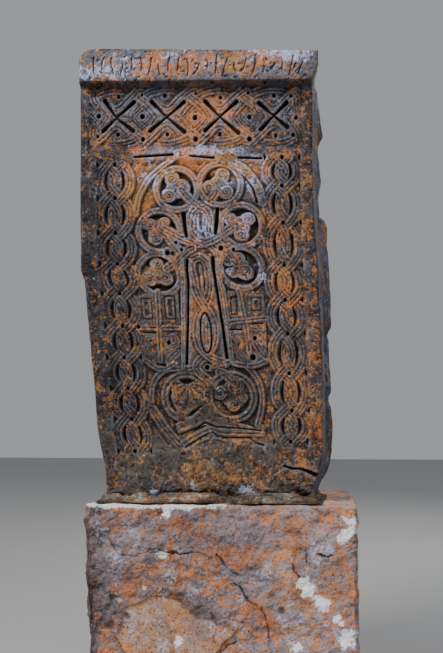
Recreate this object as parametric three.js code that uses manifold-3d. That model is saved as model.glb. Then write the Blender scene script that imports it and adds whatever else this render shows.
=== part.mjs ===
// Khachkar: a carved cross-stone on a separate pedestal block, bedded in mortar.
// Millimetres. +X runs to the right along the carved face, +Y to the back, +Z up.
// The origin is the middle of the pedestal's underside.
import * as THREE from 'three';
import { mergeVertices } from 'three/addons/utils/BufferGeometryUtils.js';
import Module from 'manifold-3d';

const wasm = await Module();
wasm.setup();

// Pedestal block
const pedestalWidth = 876;
const pedestalDepth = 490;
const pedestalHeight = 620;
const pedestalSpread = 24;
const pedestalEdgeWear = 9;
const chippedTopHeight = 46;
const chippedFootReach = 12;
const brokenCornerWidth = 120;
const brokenCornerDepth = 330;
const brokenCornerDrop = 46;
const cutMargin = 20;
const chippedCornerReach = 62;
const crackWidth = 7;
const crackDepth = 6;
const scarDepth = 7;

// Slab: its dressed face stands forward of the pedestal's middle
const slabWidth = 767;
const slabHeight = 1470;
const slabThickness = 220;
const slabOffset = -84.5;
const faceSetback = 140;
const arrisWear = 12;
const sideSplay = 24;
const backCrown = 16;
const backCrownInset = 230;

// Cornice, one stone with the slab
const corniceHeight = 100;
const corniceProjectionLow = 44;
const corniceProjectionHigh = 70;
const corniceSoffitRise = 20;
const corniceOverhang = 18;
const corniceFall = 12;
const corniceEndSlant = 42;
const corniceBackSetback = 22;
const corniceRoundWidth = 52;
const corniceRoundHeight = 40;
const strokeDepth = 4;
const strokeCount = 15;
const strokeLean = 12;
const strokeLow = 0.2;
const strokeHigh = 0.78;
const strokeWidth = 8;
const strokeMargin = 31;

// Mortar bed
const bedThickness = 14;
const bedFilletHeight = 16;
const bedSpreadFront = 52;
const bedSpreadSide = 40;
const bedEdgeRound = 7;
const bedRimWidth = 7;
const bedRaggedness = 0.3;
const bedClearance = 1.5;
const restGap = 0.3;

// Carving: the face is ruled in squares, so many across and so many up
const squaresAcross = 100;
const squaresUp = 192;
const groundDepth = 17;
const slitDepth = 30;
const holeDepth = 28;
const upperLevel = 1;
const barLevel = 2;
const evenLevel = 3;
const lowerLevel = 10;
const bandRoot = 3;
const curlDimple = 5;
const curlSides = 6;
const frameSides = 10;

// The slab's side is dressed as far as this share of its thickness, and rough behind
const dressedShare = 0.45;
const roughShare = 0.62;

const squareHigh = slabHeight / squaresUp;
const faceY = -pedestalDepth / 2 + faceSetback;
const slabBase = pedestalHeight + restGap + bedThickness + restGap;

const stone = new THREE.MeshStandardMaterial({ color: 0x5c5048, roughness: 0.92, metalness: 0 });
const pedestalStone = new THREE.MeshStandardMaterial({ color: 0x84573f, roughness: 0.92, metalness: 0 });
const mortar = new THREE.MeshStandardMaterial({ color: 0x7c776b, roughness: 0.95, metalness: 0 });

// Solids

function signedVolume(positions, triangles) {
  let volume = 0;
  const corner = (index) => new THREE.Vector3().fromArray(positions, 3 * index);
  for (let t = 0; t < triangles.length; t += 3) {
    const [a, b, c] = [triangles[t], triangles[t + 1], triangles[t + 2]].map(corner);
    volume += a.dot(b.cross(c)) / 6;
  }
  return volume;
}

function solid(geometry, place = null) {
  geometry.deleteAttribute('normal');
  geometry.deleteAttribute('uv');
  const merged = mergeVertices(geometry);
  const position = merged.attributes.position;
  const point = new THREE.Vector3();
  for (let i = 0; place && i < position.count; i += 1) {
    point.fromBufferAttribute(position, i);
    position.setXYZ(i, ...place(point.x, point.y, point.z));
  }
  const triangles = [];
  const index = merged.index.array;
  for (let t = 0; t < index.length; t += 3) {
    const [a, b, c] = [index[t], index[t + 1], index[t + 2]];
    if (a !== b && b !== c && c !== a) triangles.push(a, b, c);
  }
  if (signedVolume(position.array, triangles) < 0) triangles.reverse();
  const mesh = new wasm.Mesh({
    numProp: 3,
    vertProperties: Float32Array.from(position.array),
    triVerts: Uint32Array.from(triangles),
  });
  return new wasm.Manifold(mesh);
}

function joined(solids) {
  return solids.reduce((whole, piece) => whole.add(piece));
}

// A closed solid through a row of outlines that all have the same number of points
function loft(outlines) {
  const sides = outlines[0].length;
  const vertices = outlines.flat(2);
  const index = [];
  for (let row = 0; row + 1 < outlines.length; row += 1) {
    for (let side = 0; side < sides; side += 1) {
      const a = row * sides + side;
      const b = row * sides + ((side + 1) % sides);
      index.push(a, b, a + sides, b, b + sides, a + sides);
    }
  }
  const last = (outlines.length - 1) * sides;
  for (let side = 1; side + 1 < sides; side += 1) {
    index.push(0, side + 1, side);
    index.push(last, last + side, last + side + 1);
  }
  const geometry = new THREE.BufferGeometry();
  geometry.setAttribute('position', new THREE.Float32BufferAttribute(vertices, 3));
  geometry.setIndex(index);
  return geometry;
}

function meshFrom(manifold, name, material) {
  const { vertProperties, triVerts } = manifold.getMesh();
  const geometry = new THREE.BufferGeometry();
  geometry.setAttribute('position', new THREE.BufferAttribute(vertProperties, 3));
  geometry.setIndex(new THREE.BufferAttribute(triVerts, 1));
  geometry.computeVertexNormals();
  const mesh = new THREE.Mesh(geometry, material);
  mesh.name = name;
  return mesh;
}

// Slab edges at shares of the height: how far the left edge stands in, how far the right edge
// and the rough work behind it stand out. The foot is broken in, so the stone leans left as it rises.
const slabEdges = [
  [0, 87, 1, -8], [0.04, 84, 4, -4], [0.07, 82, 24, 2], [0.1, 72, 34, 8], [0.16, 58, 35, 12],
  [0.25, 51, 34, 8], [0.37, 32, 29, 7], [0.487, 16, 19, 6], [0.51, 4, 18, 8], [0.61, 3, 7, 14],
  [0.65, 2.5, 5, 12], [0.67, 2, 4, -2], [0.74, 2, 1, 10], [0.8, 1, 0, 2], [0.84, 1, 0, 14], [1, 0, 0, 2],
];

function edgeAt(column, share) {
  const place = THREE.MathUtils.clamp(share, 0, 1);
  const next = Math.max(1, slabEdges.findIndex(([edge]) => edge >= place));
  const [low, high] = [slabEdges[next - 1], slabEdges[next]];
  return low[column] + ((place - low[0]) / (high[0] - low[0])) * (high[column] - low[column]);
}

function leftEdge(height) {
  return slabOffset - slabWidth / 2 + edgeAt(1, height / slabHeight);
}

function rightEdge(height) {
  return slabOffset + slabWidth / 2 + edgeAt(2, height / slabHeight);
}

// From the ruled face (across from the middle, up from the foot, depth into the stone)
function onFace(across, up, depth) {
  const height = up * squareHigh;
  const left = leftEdge(height);
  const right = rightEdge(height);
  const x = left + (across / squaresAcross + 0.5) * (right - left);
  return [x, faceY + depth, slabBase + height];
}

function slabOutline(share) {
  const height = share * slabHeight;
  const left = leftEdge(height);
  const right = rightEdge(height);
  const bulge = edgeAt(3, share);
  const rearRight = right + sideSplay + bulge;
  const rearLeft = left + arrisWear / 2 - bulge / 2;
  const back = faceY + slabThickness;
  const hump = backCrown * (1 + Math.sin(Math.PI * share)) / 2;
  const z = slabBase + height;
  return [
    [left + arrisWear, faceY, z],
    [right - arrisWear / 3, faceY, z],
    [right, faceY + arrisWear / 3, z],
    [right + sideSplay / 2, faceY + slabThickness * dressedShare, z],
    [rearRight, faceY + slabThickness * roughShare, z],
    [rearRight - arrisWear, back - arrisWear - bulge, z],
    [right - backCrownInset, back + hump, z],
    [left + backCrownInset, back + hump + bulge, z],
    [rearLeft, back - arrisWear, z],
    [left, faceY + arrisWear, z],
  ];
}

function slabBlank() {
  return solid(loft(slabEdges.map(([share]) => slabOutline(share))));
}

// The cornice's face leans forward; its left end is rounded and its right end cut back
function cornice() {
  const low = slabHeight - corniceHeight;
  const left = leftEdge(low);
  const right = rightEdge(low);
  const front = new THREE.Shape();
  front.moveTo(left, low);
  front.lineTo(right, low);
  front.lineTo(right + corniceOverhang, slabHeight - corniceEndSlant);
  front.lineTo(right + corniceOverhang, slabHeight - corniceFall);
  front.lineTo(left + corniceRoundWidth, slabHeight);
  front.quadraticCurveTo(left, slabHeight, left, slabHeight - corniceRoundHeight);
  const depth = slabThickness - corniceBackSetback + corniceProjectionHigh;
  const block = new THREE.ExtrudeGeometry(front, { depth, bevelEnabled: false, curveSegments: 4 });
  const lean = (x, height, into) => {
    const share = (height - low) / corniceHeight;
    const reach = corniceProjectionLow + share * (corniceProjectionHigh - corniceProjectionLow);
    const shrink = (depth - corniceProjectionHigh + reach) / depth;
    return [x, faceY - reach + into * shrink, slabBase + height];
  };
  const soffit = new THREE.Shape();
  soffit.moveTo(-corniceProjectionLow, low);
  soffit.lineTo(1, low - corniceSoffitRise);
  soffit.lineTo(slabThickness / 2, low - corniceSoffitRise);
  soffit.lineTo(slabThickness / 2, low + 1);
  soffit.lineTo(-corniceProjectionLow, low + 1);
  const run = right - left - arrisWear;
  const wedge = new THREE.ExtrudeGeometry(soffit, { depth: run, bevelEnabled: false });
  const turn = (out, height, into) => [left + arrisWear / 2 + into, faceY + out, slabBase + height];
  return solid(block, lean).add(solid(wedge, turn));
}

// Rows of shallow strokes along the cornice's face, in no alphabet
const leanStep = 2.4;

function corniceStrokes() {
  const low = slabHeight - corniceHeight;
  const left = leftEdge(low) + strokeMargin;
  const right = rightEdge(low);
  const pitch = (right - left) / strokeCount;
  const strokes = [];
  for (let mark = 0; mark < strokeCount; mark += 1) {
    const middle = left + (mark + 0.5) * pitch;
    const lean = strokeLean * Math.sin(leanStep * mark);
    const from = [middle - lean, low + strokeLow * corniceHeight];
    const to = [middle + lean, low + strokeHigh * corniceHeight];
    strokes.push(corniceGroove(from, to));
  }
  return joined(strokes);
}

function corniceGroove(from, to) {
  const low = slabHeight - corniceHeight;
  const slope = (corniceProjectionHigh - corniceProjectionLow) / corniceHeight;
  const faceAt = (height) => faceY - corniceProjectionLow - (height - low) * slope;
  const direction = new THREE.Vector2(to[0] - from[0], to[1] - from[1]).normalize();
  const half = strokeWidth / 2;
  const ring = ([x, height]) => [
    [x - direction.y * half, faceAt(height) - 1, slabBase + height + direction.x * half],
    [x + direction.y * half, faceAt(height) - 1, slabBase + height - direction.x * half],
    [x, faceAt(height) + strokeDepth, slabBase + height],
  ];
  return solid(loft([ring(from), ring(to)]));
}

// Carving tools on the ruled face

function cutShape(corners, depth) {
  const shape = new THREE.Shape(corners.map(([across, up]) => new THREE.Vector2(across, up)));
  const geometry = new THREE.ExtrudeGeometry(shape, { depth: 1, bevelEnabled: false });
  return solid(geometry, (across, up, into) => onFace(across, up, into > 0.5 ? depth : -2));
}

function rectangle(left, right, low, high) {
  return [[left, low], [right, low], [right, high], [left, high]];
}

function diamond(across, up, reach) {
  return [[across - reach, up], [across, up - reach], [across + reach, up], [across, up + reach]];
}

// Sections of a band: where its crests lie, as shares of half its width
const roof = [0];
const flat = [-0.72, 0.72];
const frameCrest = 0.7;
const curlCrest = 0.62;

// A raised band along points of across, up and the depth of its crest
function band(points, width, crests = roof) {
  const rings = points.map(([across, up, crest], i) => {
    const [backX, backY] = points[Math.max(i - 1, 0)];
    const [nextX, nextY] = points[Math.min(i + 1, points.length - 1)];
    const run = new THREE.Vector2(nextX - backX, nextY - backY).normalize();
    const half = width / 2;
    const at = (side, depth) => onFace(across - run.y * side, up + run.x * side, depth);
    return [
      at(-half, groundDepth + bandRoot),
      ...crests.map((share) => at(share * half, crest)),
      at(half, groundDepth + bandRoot),
    ];
  });
  return solid(loft(rings));
}

// The same crest all along
function level(points, crest) {
  return points.map(([across, up]) => [across, up, crest]);
}

function ringFrame(across, up, inner, outer, crest) {
  const middle = (inner + outer) / 2;
  const half = (outer - inner) / 2;
  const profile = [
    new THREE.Vector2(inner, groundDepth + bandRoot),
    new THREE.Vector2(outer, groundDepth + bandRoot),
    new THREE.Vector2(middle + half * frameCrest, crest),
    new THREE.Vector2(middle - half * frameCrest, crest),
    new THREE.Vector2(inner, groundDepth + bandRoot),
  ];
  const geometry = new THREE.LatheGeometry(profile, frameSides);
  return solid(geometry, (x, depth, y) => onFace(across + x, up + y, depth));
}

// A curl: a low round boss with a dimple, one lobe of a leaf
function curl(across, up, reach, crest = barLevel) {
  const profile = [
    new THREE.Vector2(0, groundDepth + bandRoot),
    new THREE.Vector2(reach, groundDepth + bandRoot),
    new THREE.Vector2(reach * curlCrest, crest),
    new THREE.Vector2(0, crest + curlDimple),
  ];
  const geometry = new THREE.LatheGeometry(profile, curlSides);
  return solid(geometry, (x, depth, y) => onFace(across + x, up + y, depth));
}

// Border column: four strands plaited into a chain of rings with a diamond at every joint
const columnBand = 3.6;
const outerReach = 6.2;
const innerReach = 2.05;
const jointReach = 3.4;
const straightShare = 0.2;

function columnStrand(axis, top, pitch, rings, side, parity) {
  const points = [];
  for (let ring = 0; ring < rings; ring += 1) {
    const outer = (ring + parity) % 2 === 0;
    const joint = top - ring * pitch;
    const sideCrossing = axis + side * jointReach;
    const over = (isOver) => (isOver ? upperLevel : lowerLevel);
    if (outer) {
      points.push([axis, joint + jointReach, over(side > 0)]);
      points.push([sideCrossing, joint, over(side < 0)]);
    } else {
      points.push([sideCrossing, joint, over(side > 0)]);
      points.push([axis, joint - jointReach, over(side < 0)]);
    }
    const middle = joint - pitch / 2;
    if (outer) {
      points.push([axis + side * outerReach, middle + straightShare * pitch, evenLevel]);
      points.push([axis + side * outerReach, middle - straightShare * pitch, evenLevel]);
    } else {
      points.push([axis - side * innerReach, middle, evenLevel]);
    }
  }
  const last = top - rings * pitch;
  const endsOutside = (rings - 1 + parity) % 2 === 0;
  const sideEnd = [axis + side * jointReach, last, endsOutside === side > 0 ? upperLevel : lowerLevel];
  const middleEnd = [axis, last + (endsOutside ? -jointReach : jointReach), evenLevel];
  points.push(...(endsOutside ? [sideEnd, middleEnd] : [middleEnd, sideEnd]));
  return band(points, columnBand);
}

function column({ axis, top, bottom, rings }) {
  const pitch = (top - bottom) / rings;
  const strands = [];
  for (const side of [-1, 1]) {
    for (const parity of [0, 1]) strands.push(columnStrand(axis, top, pitch, rings, side, parity));
  }
  return joined(strands);
}

const leftColumn = { axis: -34.9, top: 143.8, bottom: 18.9, rings: 9 };
const rightColumn = { axis: 36.3, top: 149.8, bottom: 23.9, rings: 8 };

// Lattice under the cornice: diamond rings and two waves round four slits in X form
const latticeMiddle = 164.1;
const latticePitch = 22.5;
const latticeCentre = -0.6;
const latticeLeft = -45.6;
const latticeRight = 44.8;
const latticeHalf = 13.4;
const latticeBand = 3.9;
const slitReach = 6.7;
const slitEndWidth = 0.6;
const slitMiddleWidth = 0.25;
const jointHole = 1.1;
const endHoleShifts = { 0: 3.6, 4: -1.6 };

// A ring's upper half, from right to left; the lower half mirrors it with the levels swapped
const ringPath = [
  [19.2, 0, evenLevel], [11.25, 8, upperLevel], [6.9, 10.8, lowerLevel], [0, 12, evenLevel],
  [-6.9, 10.8, upperLevel], [-11.25, 8, lowerLevel], [-19.2, 0, evenLevel],
];
const waveJoint = 11.4;
const waveShoulder = { across: 7, up: 9.6 };
const waveDip = 3.4;

function latticeRing(centre) {
  const swapped = (level) => upperLevel + lowerLevel - level;
  const edge = latticeBand / 2;
  const clamp = (across) => THREE.MathUtils.clamp(across, latticeLeft + edge, latticeRight - edge);
  const halves = [];
  for (const flip of [1, -1]) {
    const points = ringPath.map(([across, up, level]) => {
      const depth = flip > 0 || level === evenLevel ? level : swapped(level);
      return [centre + across, latticeMiddle + flip * up, depth];
    });
    const inside = points.filter(([across]) => across > latticeLeft - 1 && across < latticeRight + 1);
    if (inside.length < 2) continue;
    halves.push(band(inside.map(([across, up, level]) => [clamp(across), up, level]), latticeBand));
  }
  return halves;
}

function latticeWave(flip) {
  const points = [];
  for (let slit = 0; slit < 4; slit += 1) {
    const centre = latticeCentre + (slit - 1.5) * latticePitch;
    const first = slit === 0 ? latticeLeft : centre - latticePitch / 2;
    const shoulder = latticeMiddle + flip * waveShoulder.up;
    points.push([first, latticeMiddle + flip * waveJoint, evenLevel]);
    points.push([centre - waveShoulder.across, shoulder, flip > 0 ? lowerLevel : upperLevel]);
    points.push([centre, latticeMiddle + flip * waveDip, evenLevel]);
    points.push([centre + waveShoulder.across, shoulder, flip > 0 ? upperLevel : lowerLevel]);
  }
  points.push([latticeRight, latticeMiddle + flip * waveJoint, evenLevel]);
  return band(points, latticeBand);
}

function lattice() {
  const bands = [latticeWave(1), latticeWave(-1)];
  for (let slit = -1; slit <= 4; slit += 1) {
    bands.push(...latticeRing(latticeCentre + (slit - 1.5) * latticePitch));
  }
  return joined(bands);
}

function latticeSlits() {
  const cuts = [];
  for (let slit = 0; slit < 4; slit += 1) {
    const centre = latticeCentre + (slit - 1.5) * latticePitch;
    for (const slope of [-1, 1]) {
      const arm = (reach, width) => [
        [centre + reach * slope - width * slope, latticeMiddle + reach + width],
        [centre + reach * slope + width * slope, latticeMiddle + reach - width],
      ];
      const [a, b] = arm(slitReach, slitEndWidth);
      const [c, d] = arm(0, slitMiddleWidth);
      const [e, f] = arm(-slitReach, slitEndWidth);
      cuts.push(cutShape([a, b, d, f, e, c], slitDepth));
    }
  }
  for (let joint = 0; joint < 5; joint += 1) {
    const centre = latticeCentre + (joint - 2) * latticePitch + (endHoleShifts[joint] ?? 0);
    cuts.push(cutShape(diamond(centre, latticeMiddle, jointHole), holeDepth));
  }
  return joined(cuts);
}

// The cross: six ringed leaves, an upper arm and a stem of plaited strands
const crossBand = 3.4;
const lobeOpening = 7.4;
const lobeFrame = 10.2;
const lobes = [
  { across: -7.9, up: 133.1, stem: -40 },
  { across: 10.2, up: 134.6, stem: 238 },
  { across: -16.6, up: 114.8, stem: -15 },
  { across: 19, up: 117.3, stem: 195 },
  { across: -17.1, up: 96, stem: 45 },
  { across: 18.2, up: 98.2, stem: 129 },
];
const curlReach = 4.6;
const curlSize = 3.3;
const curlTurns = [50, 165, -85];

// Three curls round a leaf's middle; the strand that carries the leaf comes in at the stem's angle
function leaf({ across, up, stem }) {
  const hand = across < 0 ? 1 : -1;
  return curlTurns.map((turn) => {
    const angle = THREE.MathUtils.degToRad(stem + hand * turn);
    return curl(across + curlReach * Math.cos(angle), up + curlReach * Math.sin(angle), curlSize);
  });
}

const topLeftStrand = [
  [-8.4, 134, evenLevel], [0, 126.4, upperLevel], [4.3, 124.7, evenLevel], [5.6, 121, evenLevel],
  [5.4, 114.3, evenLevel], [7.4, 110, lowerLevel], [12, 106.6, evenLevel], [18, 98.4, evenLevel],
];
const topRightStrand = [
  [10.4, 135, evenLevel], [3.8, 126, lowerLevel], [-1.3, 124.2, evenLevel], [-2.6, 121, evenLevel],
  [-2.9, 114.3, evenLevel], [-5.5, 109.8, upperLevel], [-10.1, 104.4, evenLevel], [-17, 96.4, evenLevel],
];
const leftStrand = [
  [-17.4, 115.4, evenLevel], [-8.3, 112.6, evenLevel], [-4.4, 109.9, lowerLevel], [0.8, 106.6, upperLevel],
  [3.8, 102.7, evenLevel], [4.2, 96.8, evenLevel], [2.6, 91.4, evenLevel], [-0.7, 87.2, lowerLevel],
  [-3.6, 81.1, evenLevel], [-4.9, 71.2, evenLevel], [-3.6, 63.6, evenLevel], [0.2, 58.3, upperLevel],
  [5, 54.6, evenLevel],
];
const rightStrand = [
  [19.6, 117.6, evenLevel], [10.6, 112.6, evenLevel], [6.2, 110.1, upperLevel], [0.8, 106.6, lowerLevel],
  [-2.6, 102.7, evenLevel], [-3, 96.8, evenLevel], [-3, 91.4, evenLevel], [-0.7, 87.2, upperLevel],
  [3.2, 81.1, evenLevel], [4.9, 71.2, evenLevel], [3.6, 63.6, evenLevel], [0.2, 58.3, lowerLevel],
  [-5, 54.6, evenLevel],
];
const innerLoop = [[0, 124], [0, 115.5], [1.4, 113], [2.8, 115.5], [2.8, 124]];
const leftRail = [[-5.6, 104], [-6.4, 98], [-9.9, 55.5]];
const rightRail = [[6.4, 106], [7.6, 100], [11.2, 57.5]];
const railWidth = 1.9;
const loopBand = 1.9;

function mainCross() {
  const parts = lobes.map(({ across, up }) => ringFrame(across, up, lobeOpening, lobeFrame, evenLevel));
  for (const place of lobes) parts.push(...leaf(place));
  for (const strand of [topLeftStrand, topRightStrand, leftStrand, rightStrand]) {
    parts.push(band(strand, crossBand));
  }
  parts.push(band(level(innerLoop, evenLevel), loopBand));
  for (const rail of [leftRail, rightRail]) parts.push(band(level(rail, barLevel), railWidth, flat));
  return joined(parts);
}

// The arch over the cross
const archLeft = [[-25, 126.4], [-21.6, 133], [-17.7, 138.5], [-12.3, 143.2], [-6, 147.6]];
const archLeftWidth = 2.4;
const archRightWidth = 4;
const archRight = [[8.5, 147.6], [14.5, 145], [20.3, 141.5], [25.8, 134.8], [27.6, 127.5]];

function arch() {
  const left = band(level(archLeft, barLevel), archLeftWidth, flat);
  return left.add(band(level(archRight, barLevel), archRightWidth, flat));
}

// Two small crosses beside the stem, with curls under their arms
const smallCrosses = [
  {
    upright: [[-18.9, 87], [-19.4, 57.5]],
    arms: [[-26.6, 74.2], [-11.2, 73]],
    curls: [[-23.8, 67.4], [-14.2, 68.6]],
  },
  {
    upright: [[16.3, 88.5], [19.8, 57.5]],
    arms: [[10.4, 75], [25.4, 76.8]],
    curls: [[14.3, 69.4], [22.6, 70.2]],
  },
];
const crossBarWidth = 2.9;
const crossArmWidth = 3.6;
const crossCurl = 2.9;

function smallCross({ upright, arms, curls }) {
  const bar = band(level(upright, barLevel), crossBarWidth, flat);
  const crossing = band(level(arms, barLevel), crossArmWidth, flat);
  return joined([bar, crossing, ...curls.map(([across, up]) => curl(across, up, crossCurl))]);
}

// The roundel below the cross: two leaves in one frame, and the plaits that carry it.
// A leaf's lobes are given from the cell's middle: across, up and reach.
const roundelCells = [
  { across: -10.4, up: 43.4, lobes: [[-3, 3.4, 3.2], [3.6, 4, 3], [0.4, -1, 3.6], [-4.2, -3, 3]] },
  { across: 10.6, up: 43.2, lobes: [[-4.8, 1.6, 3], [2, 4.4, 3.4], [4.6, -1.6, 3], [0.4, -3.4, 3.2]] },
];
const cellOpening = 8.3;
const cellFrame = 11.2;
const roundelArc = [
  [-24, 31], [-24.4, 42], [-20.6, 52], [-12, 57.4], [12, 57.8], [20.8, 52], [24.6, 42], [23.4, 31],
];
const roundelBand = 2.6;
const plaitBand = 2.9;
const cornerBand = 4;
const mound = [[-14, 31], [-1, 39], [1, 39], [14, 31.5], [20, 29.4], [0, 31.6], [-12, 26.6]];
const basePlait = [[-14, 25.4], [-7, 28.6], [0, 30.4], [9, 28.8], [20.5, 28.4], [24.4, 27]];
const lowerPlait = [[-12, 20.9], [-5, 24.4], [0, 25.4], [8, 23.6], [17, 24.8], [22.6, 23]];
const cornerPlait = [[-26.2, 35.6], [-21, 29.4], [-13.2, 21.2]];

function roundel() {
  const parts = [];
  for (const cell of roundelCells) {
    parts.push(ringFrame(cell.across, cell.up, cellOpening, cellFrame, evenLevel));
    for (const [across, up, reach] of cell.lobes) {
      parts.push(curl(cell.across + across, cell.up + up, reach));
    }
  }
  parts.push(band(level(roundelArc, evenLevel), roundelBand));
  for (const plait of [basePlait, lowerPlait]) parts.push(band(level(plait, evenLevel), plaitBand));
  parts.push(band(level(cornerPlait, evenLevel), cornerBand));
  return joined(parts);
}

function raisedMound() {
  const shape = new THREE.Shape(mound.map(([across, up]) => new THREE.Vector2(across, up)));
  const geometry = new THREE.ExtrudeGeometry(shape, { depth: 1, bevelEnabled: false });
  const depthAt = (into) => (into > 0.5 ? groundDepth + bandRoot : evenLevel);
  return solid(geometry, (across, up, into) => onFace(across, up, depthAt(into)));
}

// Long slits that part the stem and the upper arm from what is beside them
const openings = [
  { left: -6.7, right: -5.4, low: 112.4, high: 122 },
  { left: 7.4, right: 8.9, low: 114, high: 124 },
];

function fieldOpenings() {
  const cut = ({ left, right, low, high }) => cutShape(rectangle(left, right, low, high), holeDepth);
  return joined(openings.map(cut));
}

// The sunk fields in which the carving stands
const fieldLeft = -43.2;
const fieldRight = 44.4;
const fieldHigh = 147.3;
const fieldFoot = [[-41.2, 13], [-29.2, 13], [-10, 19], [24, 21]];
const fieldFootRight = 21;

function sunkFields() {
  const latticeLow = latticeMiddle - latticeHalf;
  const latticeHigh = latticeMiddle + latticeHalf;
  const latticeField = rectangle(latticeLeft, latticeRight, latticeLow, latticeHigh);
  const fieldTop = [[fieldRight, fieldFootRight], [fieldRight, fieldHigh], [fieldLeft, fieldHigh]];
  const mainField = [...fieldFoot, ...fieldTop];
  return cutShape(latticeField, groundDepth).add(cutShape(mainField, groundDepth));
}

function stele() {
  const carved = joined([
    lattice(),
    column(leftColumn),
    column(rightColumn),
    mainCross(),
    arch(),
    ...smallCrosses.map(smallCross),
    roundel(),
    raisedMound(),
  ]);
  const cuts = latticeSlits().add(fieldOpenings());
  const body = slabBlank().add(cornice()).subtract(corniceStrokes());
  return body.subtract(sunkFields()).add(carved).subtract(cuts);
}

// Pedestal

function pedestalOutline(z, inset) {
  const widen = pedestalSpread * (1 - z / pedestalHeight);
  const left = -pedestalWidth / 2 + widen + inset;
  const right = pedestalWidth / 2 + widen / 3 - inset;
  const front = -pedestalDepth / 2 + inset;
  const back = pedestalDepth / 2 - inset;
  const chip = z > pedestalHeight - chippedTopHeight ? chippedCornerReach : chippedFootReach;
  return [
    [left + chip, front, z],
    [right - pedestalEdgeWear, front, z],
    [right, front + pedestalEdgeWear, z],
    [right, back - pedestalEdgeWear, z],
    [right - pedestalEdgeWear, back, z],
    [left + pedestalEdgeWear, back, z],
    [left, back - pedestalEdgeWear, z],
    [left, front + chip, z],
  ];
}

// Cracks and a worn scar on the front, in hundredths of its width from the middle and of its height
const crackPaths = [
  [
    [-42, 82.3], [-37.7, 75], [-32.9, 72.4], [-22.8, 75], [-6.7, 75],
    [1.1, 73.4], [3.4, 66.5], [6.6, 63.4], [10, 50.8], [12.1, 48.7],
  ],
  [[15.8, 44], [16.9, 38.4], [19.2, 30.6], [18.6, 19.4]],
];
const scar = [
  [-37.9, 32.3], [-34, 50], [-25.1, 53.1], [-15.5, 53.1], [-9.8, 45.3],
  [7.1, 37.1], [1.4, 29.8], [-3.4, 21], [-32, 19.4],
];

function onFront([across, up], depth) {
  return [pedestalWidth * across / 100, -pedestalDepth / 2 + depth, pedestalHeight * up / 100];
}

function crack(path) {
  const points = path.map((point) => new THREE.Vector3(...onFront(point, 0)));
  const rings = points.map((point, i) => {
    const back = points[Math.max(i - 1, 0)];
    const next = points[Math.min(i + 1, points.length - 1)];
    const run = next.clone().sub(back).normalize().multiplyScalar(crackWidth / 2);
    return [
      [point.x + run.z, point.y - 1, point.z - run.x],
      [point.x - run.z, point.y - 1, point.z + run.x],
      [point.x, point.y + crackDepth, point.z],
    ];
  });
  return solid(loft(rings));
}

function scarCut() {
  const shape = new THREE.Shape(scar.map(([across, up]) => new THREE.Vector2(across, up)));
  const geometry = new THREE.ExtrudeGeometry(shape, { depth: 1, bevelEnabled: false });
  return solid(geometry, (across, up, into) => onFront([across, up], into > 0.5 ? scarDepth : -1));
}

// The top falls away toward the broken back left corner
function brokenCorner() {
  const left = -pedestalWidth / 2;
  const back = pedestalDepth / 2;
  const top = pedestalHeight;
  const cut = (y, share) => [
    [left - cutMargin, y, top - brokenCornerDrop * share],
    [left + brokenCornerWidth * share, y, top + 1],
    [left - cutMargin, y, top + cutMargin],
  ];
  return solid(loft([cut(back - brokenCornerDepth, 0.25), cut(back + cutMargin, 1)]));
}

function pedestal() {
  const heights = [0, pedestalHeight - 2 * chippedTopHeight, pedestalHeight - chippedTopHeight / 2];
  const rows = [...heights, pedestalHeight - pedestalEdgeWear].map((height) => pedestalOutline(height, 0));
  rows.push(pedestalOutline(pedestalHeight, pedestalEdgeWear));
  const block = solid(loft(rows));
  return block.subtract(joined([...crackPaths.map(crack), scarCut(), brokenCorner()]));
}

// Mortar bed: a pad under the foot with a fillet round it; the foot stands in a recess
const raggedStep = 2.7;

// The foot's outline, grown outwards by so much at the sides and so much at front and back
function footOutline(z, sideways, endways, ragged = 0) {
  const share = Math.max(0, z - slabBase) / slabHeight;
  const middleX = (leftEdge(0) + rightEdge(0)) / 2;
  const middleY = faceY + slabThickness / 2;
  return slabOutline(share).map(([x, y], corner) => {
    const rough = 1 + ragged * Math.sin(raggedStep * corner);
    return [
      x + Math.sign(x - middleX) * sideways * rough,
      y + Math.sign(y - middleY) * endways * rough,
      z,
    ];
  });
}

function mortarBed() {
  const base = pedestalHeight + restGap;
  const seat = slabBase - restGap;
  const rim = seat + bedFilletHeight;
  const upperSide = bedSpreadSide - bedEdgeRound;
  const upperFront = bedSpreadFront - bedEdgeRound;
  const pad = solid(loft([
    footOutline(base, bedSpreadSide, bedSpreadFront, bedRaggedness),
    footOutline((base + seat) / 2, upperSide, upperFront, bedRaggedness),
    footOutline(rim, bedRimWidth, bedRimWidth),
  ]));
  const recess = solid(loft([seat, rim + 1].map((z) => footOutline(z, bedClearance, bedClearance))));
  return pad.subtract(recess);
}

const khachkar = new THREE.Group();
khachkar.add(meshFrom(pedestal(), 'pedestal', pedestalStone));
khachkar.add(meshFrom(mortarBed(), 'mortar_bed', mortar));
khachkar.add(meshFrom(stele(), 'stele', stone));

export default khachkar;
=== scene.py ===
# Khachkar, a carved cross-stone: the looks of the stele, its mortar bed and its pedestal.
# Metres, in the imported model's frame. The carving is laid out in the mason's squares, so many
# across from the slab's middle line and so many up from its foot, and its depths are millimetres.
import math

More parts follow.
